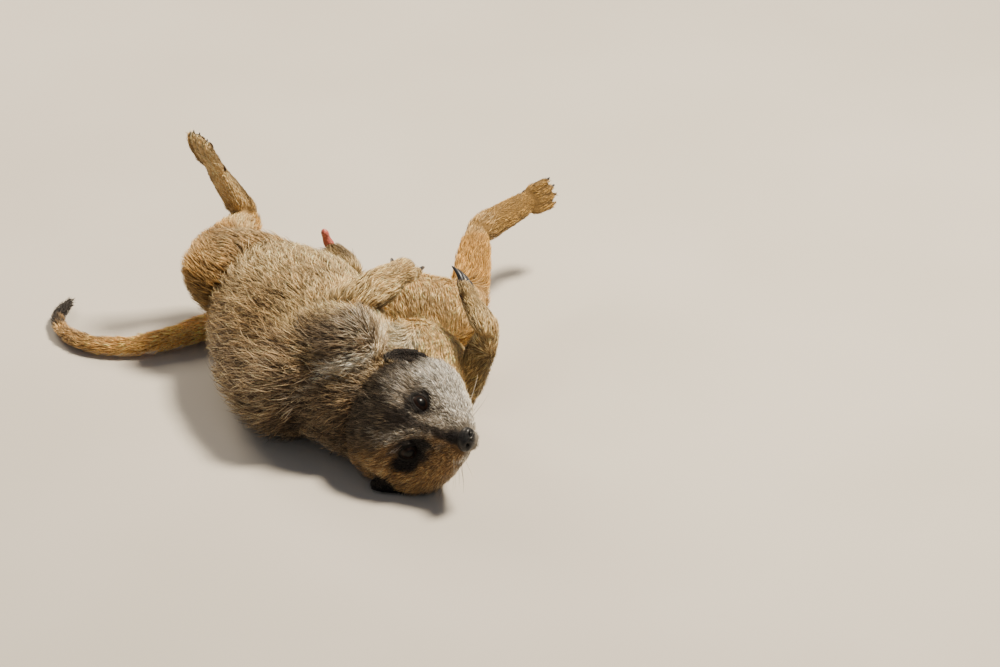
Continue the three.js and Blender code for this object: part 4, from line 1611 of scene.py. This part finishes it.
@dataclass
class Shade:
    """A material's nodes, made with few words."""

    name: str

    def __post_init__(self) -> None:
        """Makes the material and clears its nodes."""
        self.material = bpy.data.materials.new(self.name)
        self.material.use_nodes = True
        self.tree = self.material.node_tree
        self.tree.nodes.clear()

    def node(
        self, kind: str, settings: dict[str, object], inputs: dict[object, object], out: object = 0
    ) -> Socket:
        """Adds a node.

        Args:
            kind: the node's type, less the ShaderNode that it starts with.
            settings: its properties, set before its sockets.
            inputs: values, Values or sockets, by the name or number of the socket.
            out: the name or number of the output that is given back.

        Returns:
            That output's socket.
        """
        made = self.tree.nodes.new("ShaderNode" + kind)
        for key, value in settings.items():
            setattr(made, key, value)
        for key, value in inputs.items():
            if isinstance(value, Value):
                value = value.socket
            if isinstance(value, Socket):
                self.tree.links.new(value, made.inputs[key])
            else:
                made.inputs[key].default_value = value
        return made.outputs[out]

    def where(self) -> Socket:
        """The place on the object."""
        return self.node("TexCoord", {}, {}, "Object")

    def noise(self, scale: float, detail: float = 2.0, rough: float = 0.5) -> Value:
        """Noise over the object. The scale is in repeats for each metre."""
        inputs = {"Vector": self.where(), "Scale": scale, "Detail": detail, "Roughness": rough}
        return Value(self, self.node("TexNoise", {"noise_dimensions": "3D"}, inputs))

    def cells(self, scale: float) -> Value:
        """Cells over the object: the distance to the nearest one's middle."""
        inputs = {"Vector": self.where(), "Scale": scale}
        return Value(self, self.node("TexVoronoi", {"feature": "F1"}, inputs, "Distance"))

    def span(self, value: Value, low: float, high: float, start: float = 0.0, end: float = 1.0) -> Value:
        """A value moved smoothly from one span to another, and held at its ends."""
        settings = {"interpolation_type": "SMOOTHSTEP", "clamp": True}
        inputs = {"Value": value, "From Min": low, "From Max": high, "To Min": start, "To Max": end}
        return Value(self, self.node("MapRange", settings, inputs))

    def blend(
        self, share: Value | float, first: object, second: object, how: str = "MIX"
    ) -> Socket:
        """Two colours mixed. Among a Mix node's sockets, inputs 6 and 7 and output 2 are colours."""
        settings = {"data_type": "RGBA", "blend_type": how, "clamp_factor": True}
        return self.node("Mix", settings, {0: share, 6: first, 7: second}, 2)

    def coat(self, grain: Value, low: float, high: float) -> Socket:
        """The coat's own colours, made darker and lighter by a grain."""
        colour = self.node("Attribute", {"attribute_name": COAT_COLOUR}, {}, "Color")
        patch = self.span(grain, 0.3, 0.7, low, high)
        tint = self.node("CombineColor", {}, {0: patch, 1: patch, 2: patch})
        return self.blend(1.0, colour, tint, "MULTIPLY")

    def bump(self, height: Value, depth: float, strength: float = 1.0) -> Socket:
        """A normal from a height, whose whole range is `depth` metres."""
        return self.node("Bump", {}, {"Height": height, "Distance": depth, "Strength": strength})

    def finish(self, inputs: dict[object, object]) -> Material:
        """Ends in a Principled surface and gives the material."""
        surface = self.node("BsdfPrincipled", {}, inputs)
        end = self.tree.nodes.new("ShaderNodeOutputMaterial")
        self.tree.links.new(surface, end.inputs["Surface"])
        return self.material


def rgba(colour: Sequence[float]) -> tuple[float, float, float, float]:
    """A screen colour of 0 to 255 as a shader's colour."""
    red, green, blue = linear(colour)
    return (float(red), float(green), float(blue), 1.0)


@dataclass(frozen=True)
class FurFinish:
    """Hair: coloured along its length, with a soft gloss."""

    name: str = "fur"
    rough: float = 0.52
    gloss: float = 0.4

    def make(self) -> Material:
        """The material."""
        shade = Shade(self.name)
        base = shade.coat(shade.noise(900, 2), 0.82, 1.12)
        rough = shade.span(shade.noise(1500, 1), 0.3, 0.7, self.rough - 0.08, self.rough + 0.08)
        return shade.finish({"Base Color": base, "Roughness": rough, "Specular IOR Level": self.gloss})


@dataclass(frozen=True)
class HideFinish:
    """The skin under the coat: the coat's colours, with the grain of short flat hair."""

    name: str = "hide"

    def make(self) -> Material:
        """The material."""
        shade = Shade(self.name)
        grain = shade.noise(1600, 3, 0.6)
        inputs = {"Base Color": shade.coat(grain, 0.6, 1.15), "Normal": shade.bump(grain, 0.0006, 0.8)}
        return shade.finish({"Roughness": 0.75, "Specular IOR Level": 0.25, **inputs})


@dataclass(frozen=True)
class LeatherFinish:
    """Bare skin: pebbled, darker in its creases and a little damp.

    Attributes:
        name: the material's name.
        light: its colour on the pebbles.
        dark: its colour in the creases.
        scale: how many pebbles there are to a metre.
        depth: how deep the creases are, in metres.
        rough: how rough it is.
        coat: how wet it is.
        shine: how much it mirrors.
    """

    name: str
    light: Colour
    dark: Colour
    scale: float = 2200
    depth: float = 0.00012
    rough: float = 0.42
    coat: float = 0.15
    shine: float = 0.5

    def make(self) -> Material:
        """The material."""
        shade = Shade(self.name)
        pebble = shade.span(shade.cells(self.scale), 0.1, 0.6)
        drift = shade.span(shade.noise(350, 2), 0.35, 0.65)
        base = shade.blend(pebble * 0.7 + drift * 0.2, rgba(self.light), rgba(self.dark))
        rough = self.rough + 0.12 * drift
        normal = shade.bump(1 - pebble, self.depth, 0.7)
        wet = {"Coat Weight": self.coat, "Coat Roughness": 0.2, "Specular IOR Level": self.shine}
        return shade.finish({"Base Color": base, "Roughness": rough, "Normal": normal, **wet})


@dataclass(frozen=True)
class HornFinish:
    """Claw horn: blue-black, with fine lines and paler wear."""

    name: str = "horn"

    def make(self) -> Material:
        """The material."""
        shade = Shade(self.name)
        streak = shade.span(shade.noise(700, 4, 0.6), 0.35, 0.7)
        base = shade.blend(streak, rgba((22, 24, 30)), rgba((44, 44, 50)))
        normal = shade.bump(shade.noise(2600, 2), 0.00005, 0.5)
        rough = 0.36 + 0.14 * streak
        return shade.finish({"Base Color": base, "Roughness": rough, "Normal": normal, "Coat Weight": 0.1})


@dataclass(frozen=True)
class EyeFinish:
    """A wet eye: black pupil, dark brown iris with rays, darker rim.

    Attributes:
        name: the material's name.
        centre: the middle of the eyeball, in metres.
        gaze: the way that it looks.
        slit: the way of the lids' opening.
    """

    name: str
    centre: Array
    gaze: Array
    slit: Array

    def part(self, shade: Shade, way: Array) -> Value:
        """How far the surface is along a way from the eyeball's middle, where 1 is the eyeball."""
        kind = "VectorMath"
        offset = shade.node(kind, {"operation": "SUBTRACT"}, {0: shade.where(), 1: tuple(self.centre)})
        scaled = tuple(way / (EYE.radius * MM))
        return Value(shade, shade.node(kind, {"operation": "DOT_PRODUCT"}, {0: offset, 1: scaled}, "Value"))

    def make(self) -> Material:
        """The material. The pupil is an ellipse, wider along the slit."""
        shade = Shade(self.name)
        along = self.part(shade, self.slit)
        across = self.part(shade, np.cross(self.gaze, self.slit))
        ring = (along * along + across * across) ** 0.5
        pupil = ((along * 0.8) ** 2 + (across * 1.15) ** 2) ** 0.5
        rays = shade.span(shade.noise(2400, 3, 0.7), 0.35, 0.65)
        iris = shade.blend(rays, rgba((15, 9, 7)), rgba((34, 20, 13)))
        iris = shade.blend(shade.span(ring, 0.56, 0.74), iris, rgba((9, 6, 6)))
        base = shade.blend(shade.span(pupil, 0.34, 0.42), rgba((4, 4, 6)), iris)
        wet = {"Specular IOR Level": 0.08, "Coat Weight": 0.16, "Coat Roughness": 0.03}
        return shade.finish({"Base Color": base, "Roughness": 0.5, **wet})


@dataclass(frozen=True)
class WhiskerFinish:
    """Whiskers: dark horn, paler in patches."""

    name: str
    low: Colour
    high: Colour

    def make(self) -> Material:
        """The material."""
        shade = Shade(self.name)
        base = shade.blend(shade.span(shade.noise(120, 2), 0.35, 0.65), rgba(self.low), rgba(self.high))
        return shade.finish({"Base Color": base, "Roughness": 0.35})


@dataclass(frozen=True)
class FloorFinish:
    """A plain pale floor."""

    name: str = "floor"

    def make(self) -> Material:
        """The material."""
        shade = Shade(self.name)
        drift = shade.span(shade.noise(6, 2), 0.3, 0.7)
        base = shade.blend(drift, rgba((190, 184, 174)), rgba((195, 189, 180)))
        return shade.finish({"Base Color": base, "Roughness": 0.9})


# ---- pieces beside the skin ----
def piece(
    name: str, shape: Shape, finish: Material, slot: str, *nodes: str
) -> Object:
    """Makes a piece of its points in the pose frame and its faces, and dresses it.

    Args:
        name: the piece's name.
        shape: points in millimetres, and triangles.
        finish: its material.
        slot: the record's material slot. Not used.
        nodes: the solids that it stands for.

    Returns:
        The piece.
    """
    points, faces = shape
    made = make_object(name, make_mesh(name, placed(points), faces))
    made.data.materials.append(finish)
    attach(made, BODY)
    if nodes:
        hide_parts(*nodes)
    LOG.info("%s: %d triangles", name, len(faces))
    return made


@dataclass
class Eyes:
    """The two eyes: a ball with a bulging cornea, and a dark rim of lid around it."""

    shape: EyeShape = EYE
    bulge: float = 0.45

    def build(self) -> None:
        """Both sides."""
        lid = LeatherFinish("lid", (14, 12, 13), (7, 6, 6), 2600, 0.00008, 0.7, 0.0, 0.15).make()
        for side, sign in SIDES:
            gaze, slit, _ = HEAD.way(self.shape.axes, sign)
            centre = placed(HEAD.point(EYE_PLACE, sign))
            wet = EyeFinish(f"eye_{side}_wet", centre, gaze, slit).make()
            piece(f"eyeball_{side}", self.ball(sign), wet, "eye", f"eye_{side}")
            piece(f"lids_{side}", self.lids(sign), lid, "head_fur")

    def ball(self, sign: float) -> Shape:
        """The eyeball: a sphere, a little farther out within 0.62 radians of its gaze."""
        angle = np.linspace(math.pi * 0.985, 0.02, 40)[:, None] * np.ones((1, 48))
        turn = round_ring(48)[..., 0] * np.ones((40, 1)) * sign
        away = self.shape.radius + self.bulge * step(angle, 0.62, 0.15)
        return tube(self.shape.point(away, angle, turn, sign))

    def lids(self, sign: float) -> Shape:
        """The rim of the lids: a rounded roll that follows the opening, thicker above the eye."""
        turn = round_ring(72)[0]
        opening = self.shape.opening(turn)
        over = rows(-0.05, -0.035, 0.0, 0.07, 0.16, 0.28, 0.4, 0.36, 0.2, 0.06)[None]
        out = rows(-0.35, 0.1, 0.34, 0.52, 0.6, 0.5, 0.1, -0.7, -0.8, -0.7)[None]
        upper = 1 + 0.25 * np.maximum(-np.sin(turn), 0)
        away = self.shape.radius + np.where(out > 0, out * upper, out)
        rings = self.shape.point(away, opening + over, turn * np.ones_like(over), sign)
        return loop_tube(rings[:, ::-1] if sign > 0 else rings)


@dataclass
class Nose:
    """The nose pad, with its nostrils and the groove between them."""

    radii: Triple = (4.5, 5.8, 4.4)
    tilt: float = 0.32

    def build(self) -> None:
        """The pad: a ball in the head's frame, pressed in at two commas and along the middle.

        The front that bears them is tilted up.
        """
        leather = LeatherFinish("nose_leather", (12, 12, 15), (4, 4, 5), 2400, 0.00024, 0.36, 0.25, 0.22)
        rings = ball(np.zeros(3), np.eye(3), (1, 1, 1), 60, 80)
        way = rings.reshape(-1, 3)
        left = way[:, 1]
        ahead = way[:, 0] * math.cos(self.tilt) + way[:, 2] * math.sin(self.tilt)
        up = way[:, 2] * math.cos(self.tilt) - way[:, 0] * math.sin(self.tilt)
        wide = np.abs(left)
        nostril = bell(np.hypot((wide - 0.5) / 0.2, (up + 0.05) / 0.2)) * step(ahead, 0.2, 0.5)
        slot = bell(np.hypot((wide - 0.8) / 0.22, (up + 0.22) / 0.09)) * step(ahead, 0.0, 0.3)
        groove = bell(left / 0.07) * step(up, 0.25, -0.2) * step(ahead, 0.1, 0.4)
        rim = bell(np.hypot((wide - 0.5) / 0.36, (up + 0.02) / 0.36)) * step(ahead, 0.1, 0.5)
        crown = step(up, 0.3, 0.9)
        push = 1 + 0.07 * rim - 0.5 * nostril - 0.2 * slot - 0.12 * groove - 0.08 * crown
        points = HEAD.point(way * push[:, None] * self.radii + NOSE_PLACE)
        piece("nose_pad", tube(points.reshape(rings.shape)), leather.make(), "nose", "nose")


@dataclass
class Claws:
    """The sixteen claws."""

    anatomy: Anatomy

    def build(self) -> None:
        """Each claw in the place of its solid."""
        finish = HornFinish().make()
        for foot in self.anatomy.feet:
            for claw in foot.nails():
                piece(claw.name + "_horn", self.shape(claw), finish, "claw", claw.name)

    def shape(self, claw: Claw) -> Shape:
        """A claw: an ellipse, deeper than it is wide, that tapers along an arc to a blunt point."""
        share = np.linspace(0, 1, 16)
        turn = math.radians(claw.hook) * share[:, None]
        heading = claw.heading[None] * np.cos(turn) + claw.under[None] * np.sin(turn)
        pace = (claw.length * 1.05 + 0.6) / (len(share) - 1)
        path = claw.tip - claw.heading * 3 + np.cumsum(heading, axis=0) * pace
        lift = np.cross(heading, claw.across)
        taper = np.interp(share, [0, 0.25, 0.6, 0.9, 1], [1.25, 1.35, 1.05, 0.5, 0.12])
        size = taper * (0.45 + 0.05 * claw.length)
        angle = round_ring(14)
        wide = claw.across[None, None] * np.cos(angle) * (size * 0.78)[:, None, None]
        deep = lift[:, None] * np.sin(angle) * (size * 1.12)[:, None, None]
        return tube(path[:, None] + wide + deep)


@dataclass
class Pads:
    """The bare pads below the feet and toes."""

    anatomy: Anatomy

    def build(self) -> None:
        """One piece for each foot."""
        finish = LeatherFinish("pad_leather", (88, 66, 48), (50, 37, 28), 1500, 0.0002, 0.7, 0.0).make()
        for foot in self.anatomy.feet:
            name = foot.claws.replace("claw", "pads")
            piece(name, joined(list(self.shapes(foot))), finish, "bare_skin")

    def shapes(self, foot: Foot) -> Iterator[Shape]:
        """A flat egg under each toe's end, and three under the sole behind them."""
        run, dorsal, across = foot.axes
        for start, heading, under, tip in foot.digits():
            centre = start * 0.2 + tip * 0.8 + under * 1.75
            axes = np.stack([heading, np.cross(heading, under), under])
            yield tube(ball(centre, axes, (2.2, 1.4, 0.7), 12, 18))
        aside, sunk = 0.62, 2.5
        depth = foot.radii[2] * foot.depth - sunk
        axes = np.stack([run, np.cross(run, dorsal), dorsal])
        for place in (-1, 0, 1):
            centre = foot.knuckles + across * place * foot.radii[2] * aside - dorsal * depth
            centre = centre - run * (1.0 + 1.2 * abs(place))
            yield tube(ball(centre, axes, (3.0, 1.9, 0.9), 14, 20))


@dataclass
class SheathPoint:
    """The bare pink tip on the belly."""

    anatomy: Anatomy

    def build(self) -> None:
        """A tapered, slightly lobed point."""
        finish = LeatherFinish("pink_skin", (214, 122, 108), (160, 74, 66), 900, 0.0001, 0.34, 0.3).make()
        stations = self.anatomy.sheath_tip
        share = np.linspace(0, 1, 22)
        path = curve(stations[:, :3], share)
        rounding = np.sqrt(1 - np.maximum((share - 0.7) / 0.3, 0) ** 2 * 0.98)
        size = curve(stations[:, [3]], share)[:, 0] * rounding
        size = size * (1 + 0.12 * np.sin(share * 9)) * 0.85
        angle = round_ring(22)
        wide, deep = rows(1, 0, 0), rows(0, 1, 0)
        rings = path[:, None] + size[:, None, None] * (wide * np.cos(angle) + deep * np.sin(angle))
        piece("sheath_point", tube(rings), finish, "bare_skin", "sheath_tip")


@dataclass
class Whiskers:
    """Long tapered hairs on the muzzle and the brows."""

    thick: float = 0.13

    def build(self) -> None:
        """Both sides, in one dark piece and one pale piece."""
        draw = np.random.default_rng(77)
        dark, pale = [], []
        for _, sign in SIDES:
            for row in range(4):
                for column in range(4):
                    place = rows(21 - 3.4 * column, 8.0 + 0.8 * column, -9.5 - 1.9 * row + 0.4 * column)
                    length = draw.uniform(16, 26) * (1 - 0.12 * row)
                    out = rows(0.12 - 0.2 * column, 1.0, -0.25 - 0.22 * row) + draw.normal(0, 0.08, 3)
                    target = dark if (row + column) % 3 else pale
                    target.append(self.hair(place, out, length, sign))
            for number in range(3):
                place = rows(2.5 - 2 * number, 9.5 + number, 7.0)
                out = rows(0.35, 0.45, 0.8) + draw.normal(0, 0.1, 3)
                dark.append(self.hair(place, out, draw.uniform(9, 14), sign))
        dark_horn = WhiskerFinish("whisker_dark", (34, 26, 22), (70, 52, 38)).make()
        piece("whiskers_dark", joined(dark), dark_horn, "head_fur")
        pale_horn = WhiskerFinish("whisker_pale", (196, 186, 170), (226, 218, 204)).make()
        piece("whiskers_pale", joined(pale), pale_horn, "head_fur")

    def hair(self, place: Array, out: Array, length: float, sign: float) -> Shape:
        """One hair: a six-sided cone along a curve that sweeps back and droops."""
        share = np.linspace(0, 1, 12)[:, None]
        way = unit(out)
        path = place + way * length * share + rows(-0.35, 0, -0.08) * length * share**2
        path = HEAD.point(path, sign)
        path[:, 2] = soft_floor(path[:, 2], 0.3, 0.3)
        heading = unit(np.gradient(path, axis=0))
        across = squared(HEAD.axes[0], heading)
        other = np.cross(heading, across)
        size = self.thick * (1 - 0.85 * share)
        angle = round_ring(6)
        ring = across[:, None] * np.cos(angle) + other[:, None] * np.sin(angle)
        return tube(path[:, None] + ring * size[:, None])


@dataclass
class Fleece:
    """The skin and the coat together."""

    anatomy: Anatomy

    def build(self) -> None:
        """Builds the skin, colours it, and grows each piece of the coat on it.

        Seen between the tufts, the skin has the colour of the lower part of a hair.
        """
        skin = Skin(self.anatomy).build()
        fields = Coating(self.anatomy, skin).fields()
        fur, hide = FurFinish().make(), HideFinish().make()
        root, middle = fields.colours[:, :3], fields.colours[:, 3:6]
        colour_in(skin.data, root * 0.7 + middle * 0.3)
        skin.data.materials.append(hide)
        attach(skin, BODY)
        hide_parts(*self.flesh())
        LOG.info("skin: %d triangles", len(skin.data.polygons))
        faces, maps = read_faces(skin.data), read_map(skin.data)
        for number, coat in enumerate(COATS, 1):
            made = coat.grow(number, fields, faces, maps)
            made.data.materials.append(fur)
            LOG.info("%s: %d triangles", coat.name, len(made.data.polygons))

    def flesh(self) -> list[str]:
        """The solids that the skin stands for."""
        bare = ("eye_", "nose", "claw_", "sheath_tip")
        return [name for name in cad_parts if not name.startswith(bare)]


# ---- the studio ----
@dataclass
class Studio:
    """The floor, the lights and the camera.

    Attributes:
        tilt: how far below level the camera looks, in degrees.
        stand: where it stands in the pose frame, in millimetres.
        lens: its focal length, in millimetres.
    """

    tilt: float = 28.0
    stand: Triple = (39.77, -1568.8, 916.65)
    lens: float = 139.3

    def build(self) -> None:
        """Sets it all up."""
        self.floor()
        self.lamp("key", (0.58, 0.12, 1.26), 0.26, 52, (255, 240, 216))
        self.lamp("side", (-0.55, 0.85, 0.65), 0.5, 11, (255, 238, 212))
        self.lamp("front", (0.3, -1.5, 0.9), 1.0, 1, (255, 248, 240))
        self.world((226, 230, 238), 0.25)
        self.camera()

    def floor(self) -> None:
        """The floor: a square a few metres wide."""
        corners = rows((-4, -4, 0), (4, -4, 0), (4, 4, 0), (-4, 4, 0))
        mesh = make_mesh("studio_floor", corners, np.array([[0, 1, 2, 3]]), smooth=False)
        made = make_object("studio_floor", mesh)
        made.data.materials.append(FloorFinish().make())
        made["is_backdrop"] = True

    def lamp(
        self, name: str, place: Sequence[float], size: float, power: float, colour: Sequence[int]
    ) -> None:
        """A square soft light that faces the middle of the model."""
        data = bpy.data.lights.new(name, "AREA")
        data.shape = "SQUARE"
        data.size = size
        data.energy = power
        data.color = tuple(linear(colour))
        made = make_object(name, data)
        made.location = place
        aim = unit(rows(0, 0, 0.04) - rows(*place))
        made.rotation_euler = (math.acos(-aim[2]), 0, math.atan2(aim[1], aim[0]) - math.pi / 2)

    def world(self, colour: Sequence[int], strength: float) -> None:
        """The even light from all around."""
        world = bpy.data.worlds.new("studio")
        world.use_nodes = True
        background = world.node_tree.nodes["Background"]
        background.inputs["Color"].default_value = rgba(colour)
        background.inputs["Strength"].default_value = strength
        bpy.context.scene.world = world

    def camera(self) -> None:
        """The camera: above the floor, beyond the head, looking down over the body."""
        data = bpy.data.cameras.new("camera")
        data.lens = self.lens
        data.sensor_width = 36
        data.clip_end = 20
        made = make_object("camera", data)
        made.location = placed(rows(*self.stand))
        made.rotation_euler = (math.radians(90 - self.tilt), 0, 0)
        bpy.context.scene.camera = made


def main() -> None:
    """Builds the animal and the studio in order."""
    logging.basicConfig(level=logging.INFO, format="%(name)s: %(message)s")
    anatomy = Anatomy()
    Fleece(anatomy).build()
    Eyes().build()
    Nose().build()
    Claws(anatomy).build()
    Pads(anatomy).build()
    SheathPoint(anatomy).build()
    Whiskers().build()
    Studio().build()
    boxes = {"cad": CAD_BOX, "visual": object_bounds()}
    {name: [list(map(float, corner)) for corner in box] for name, box in boxes.items()}


if __name__ == "__main__":
    main()
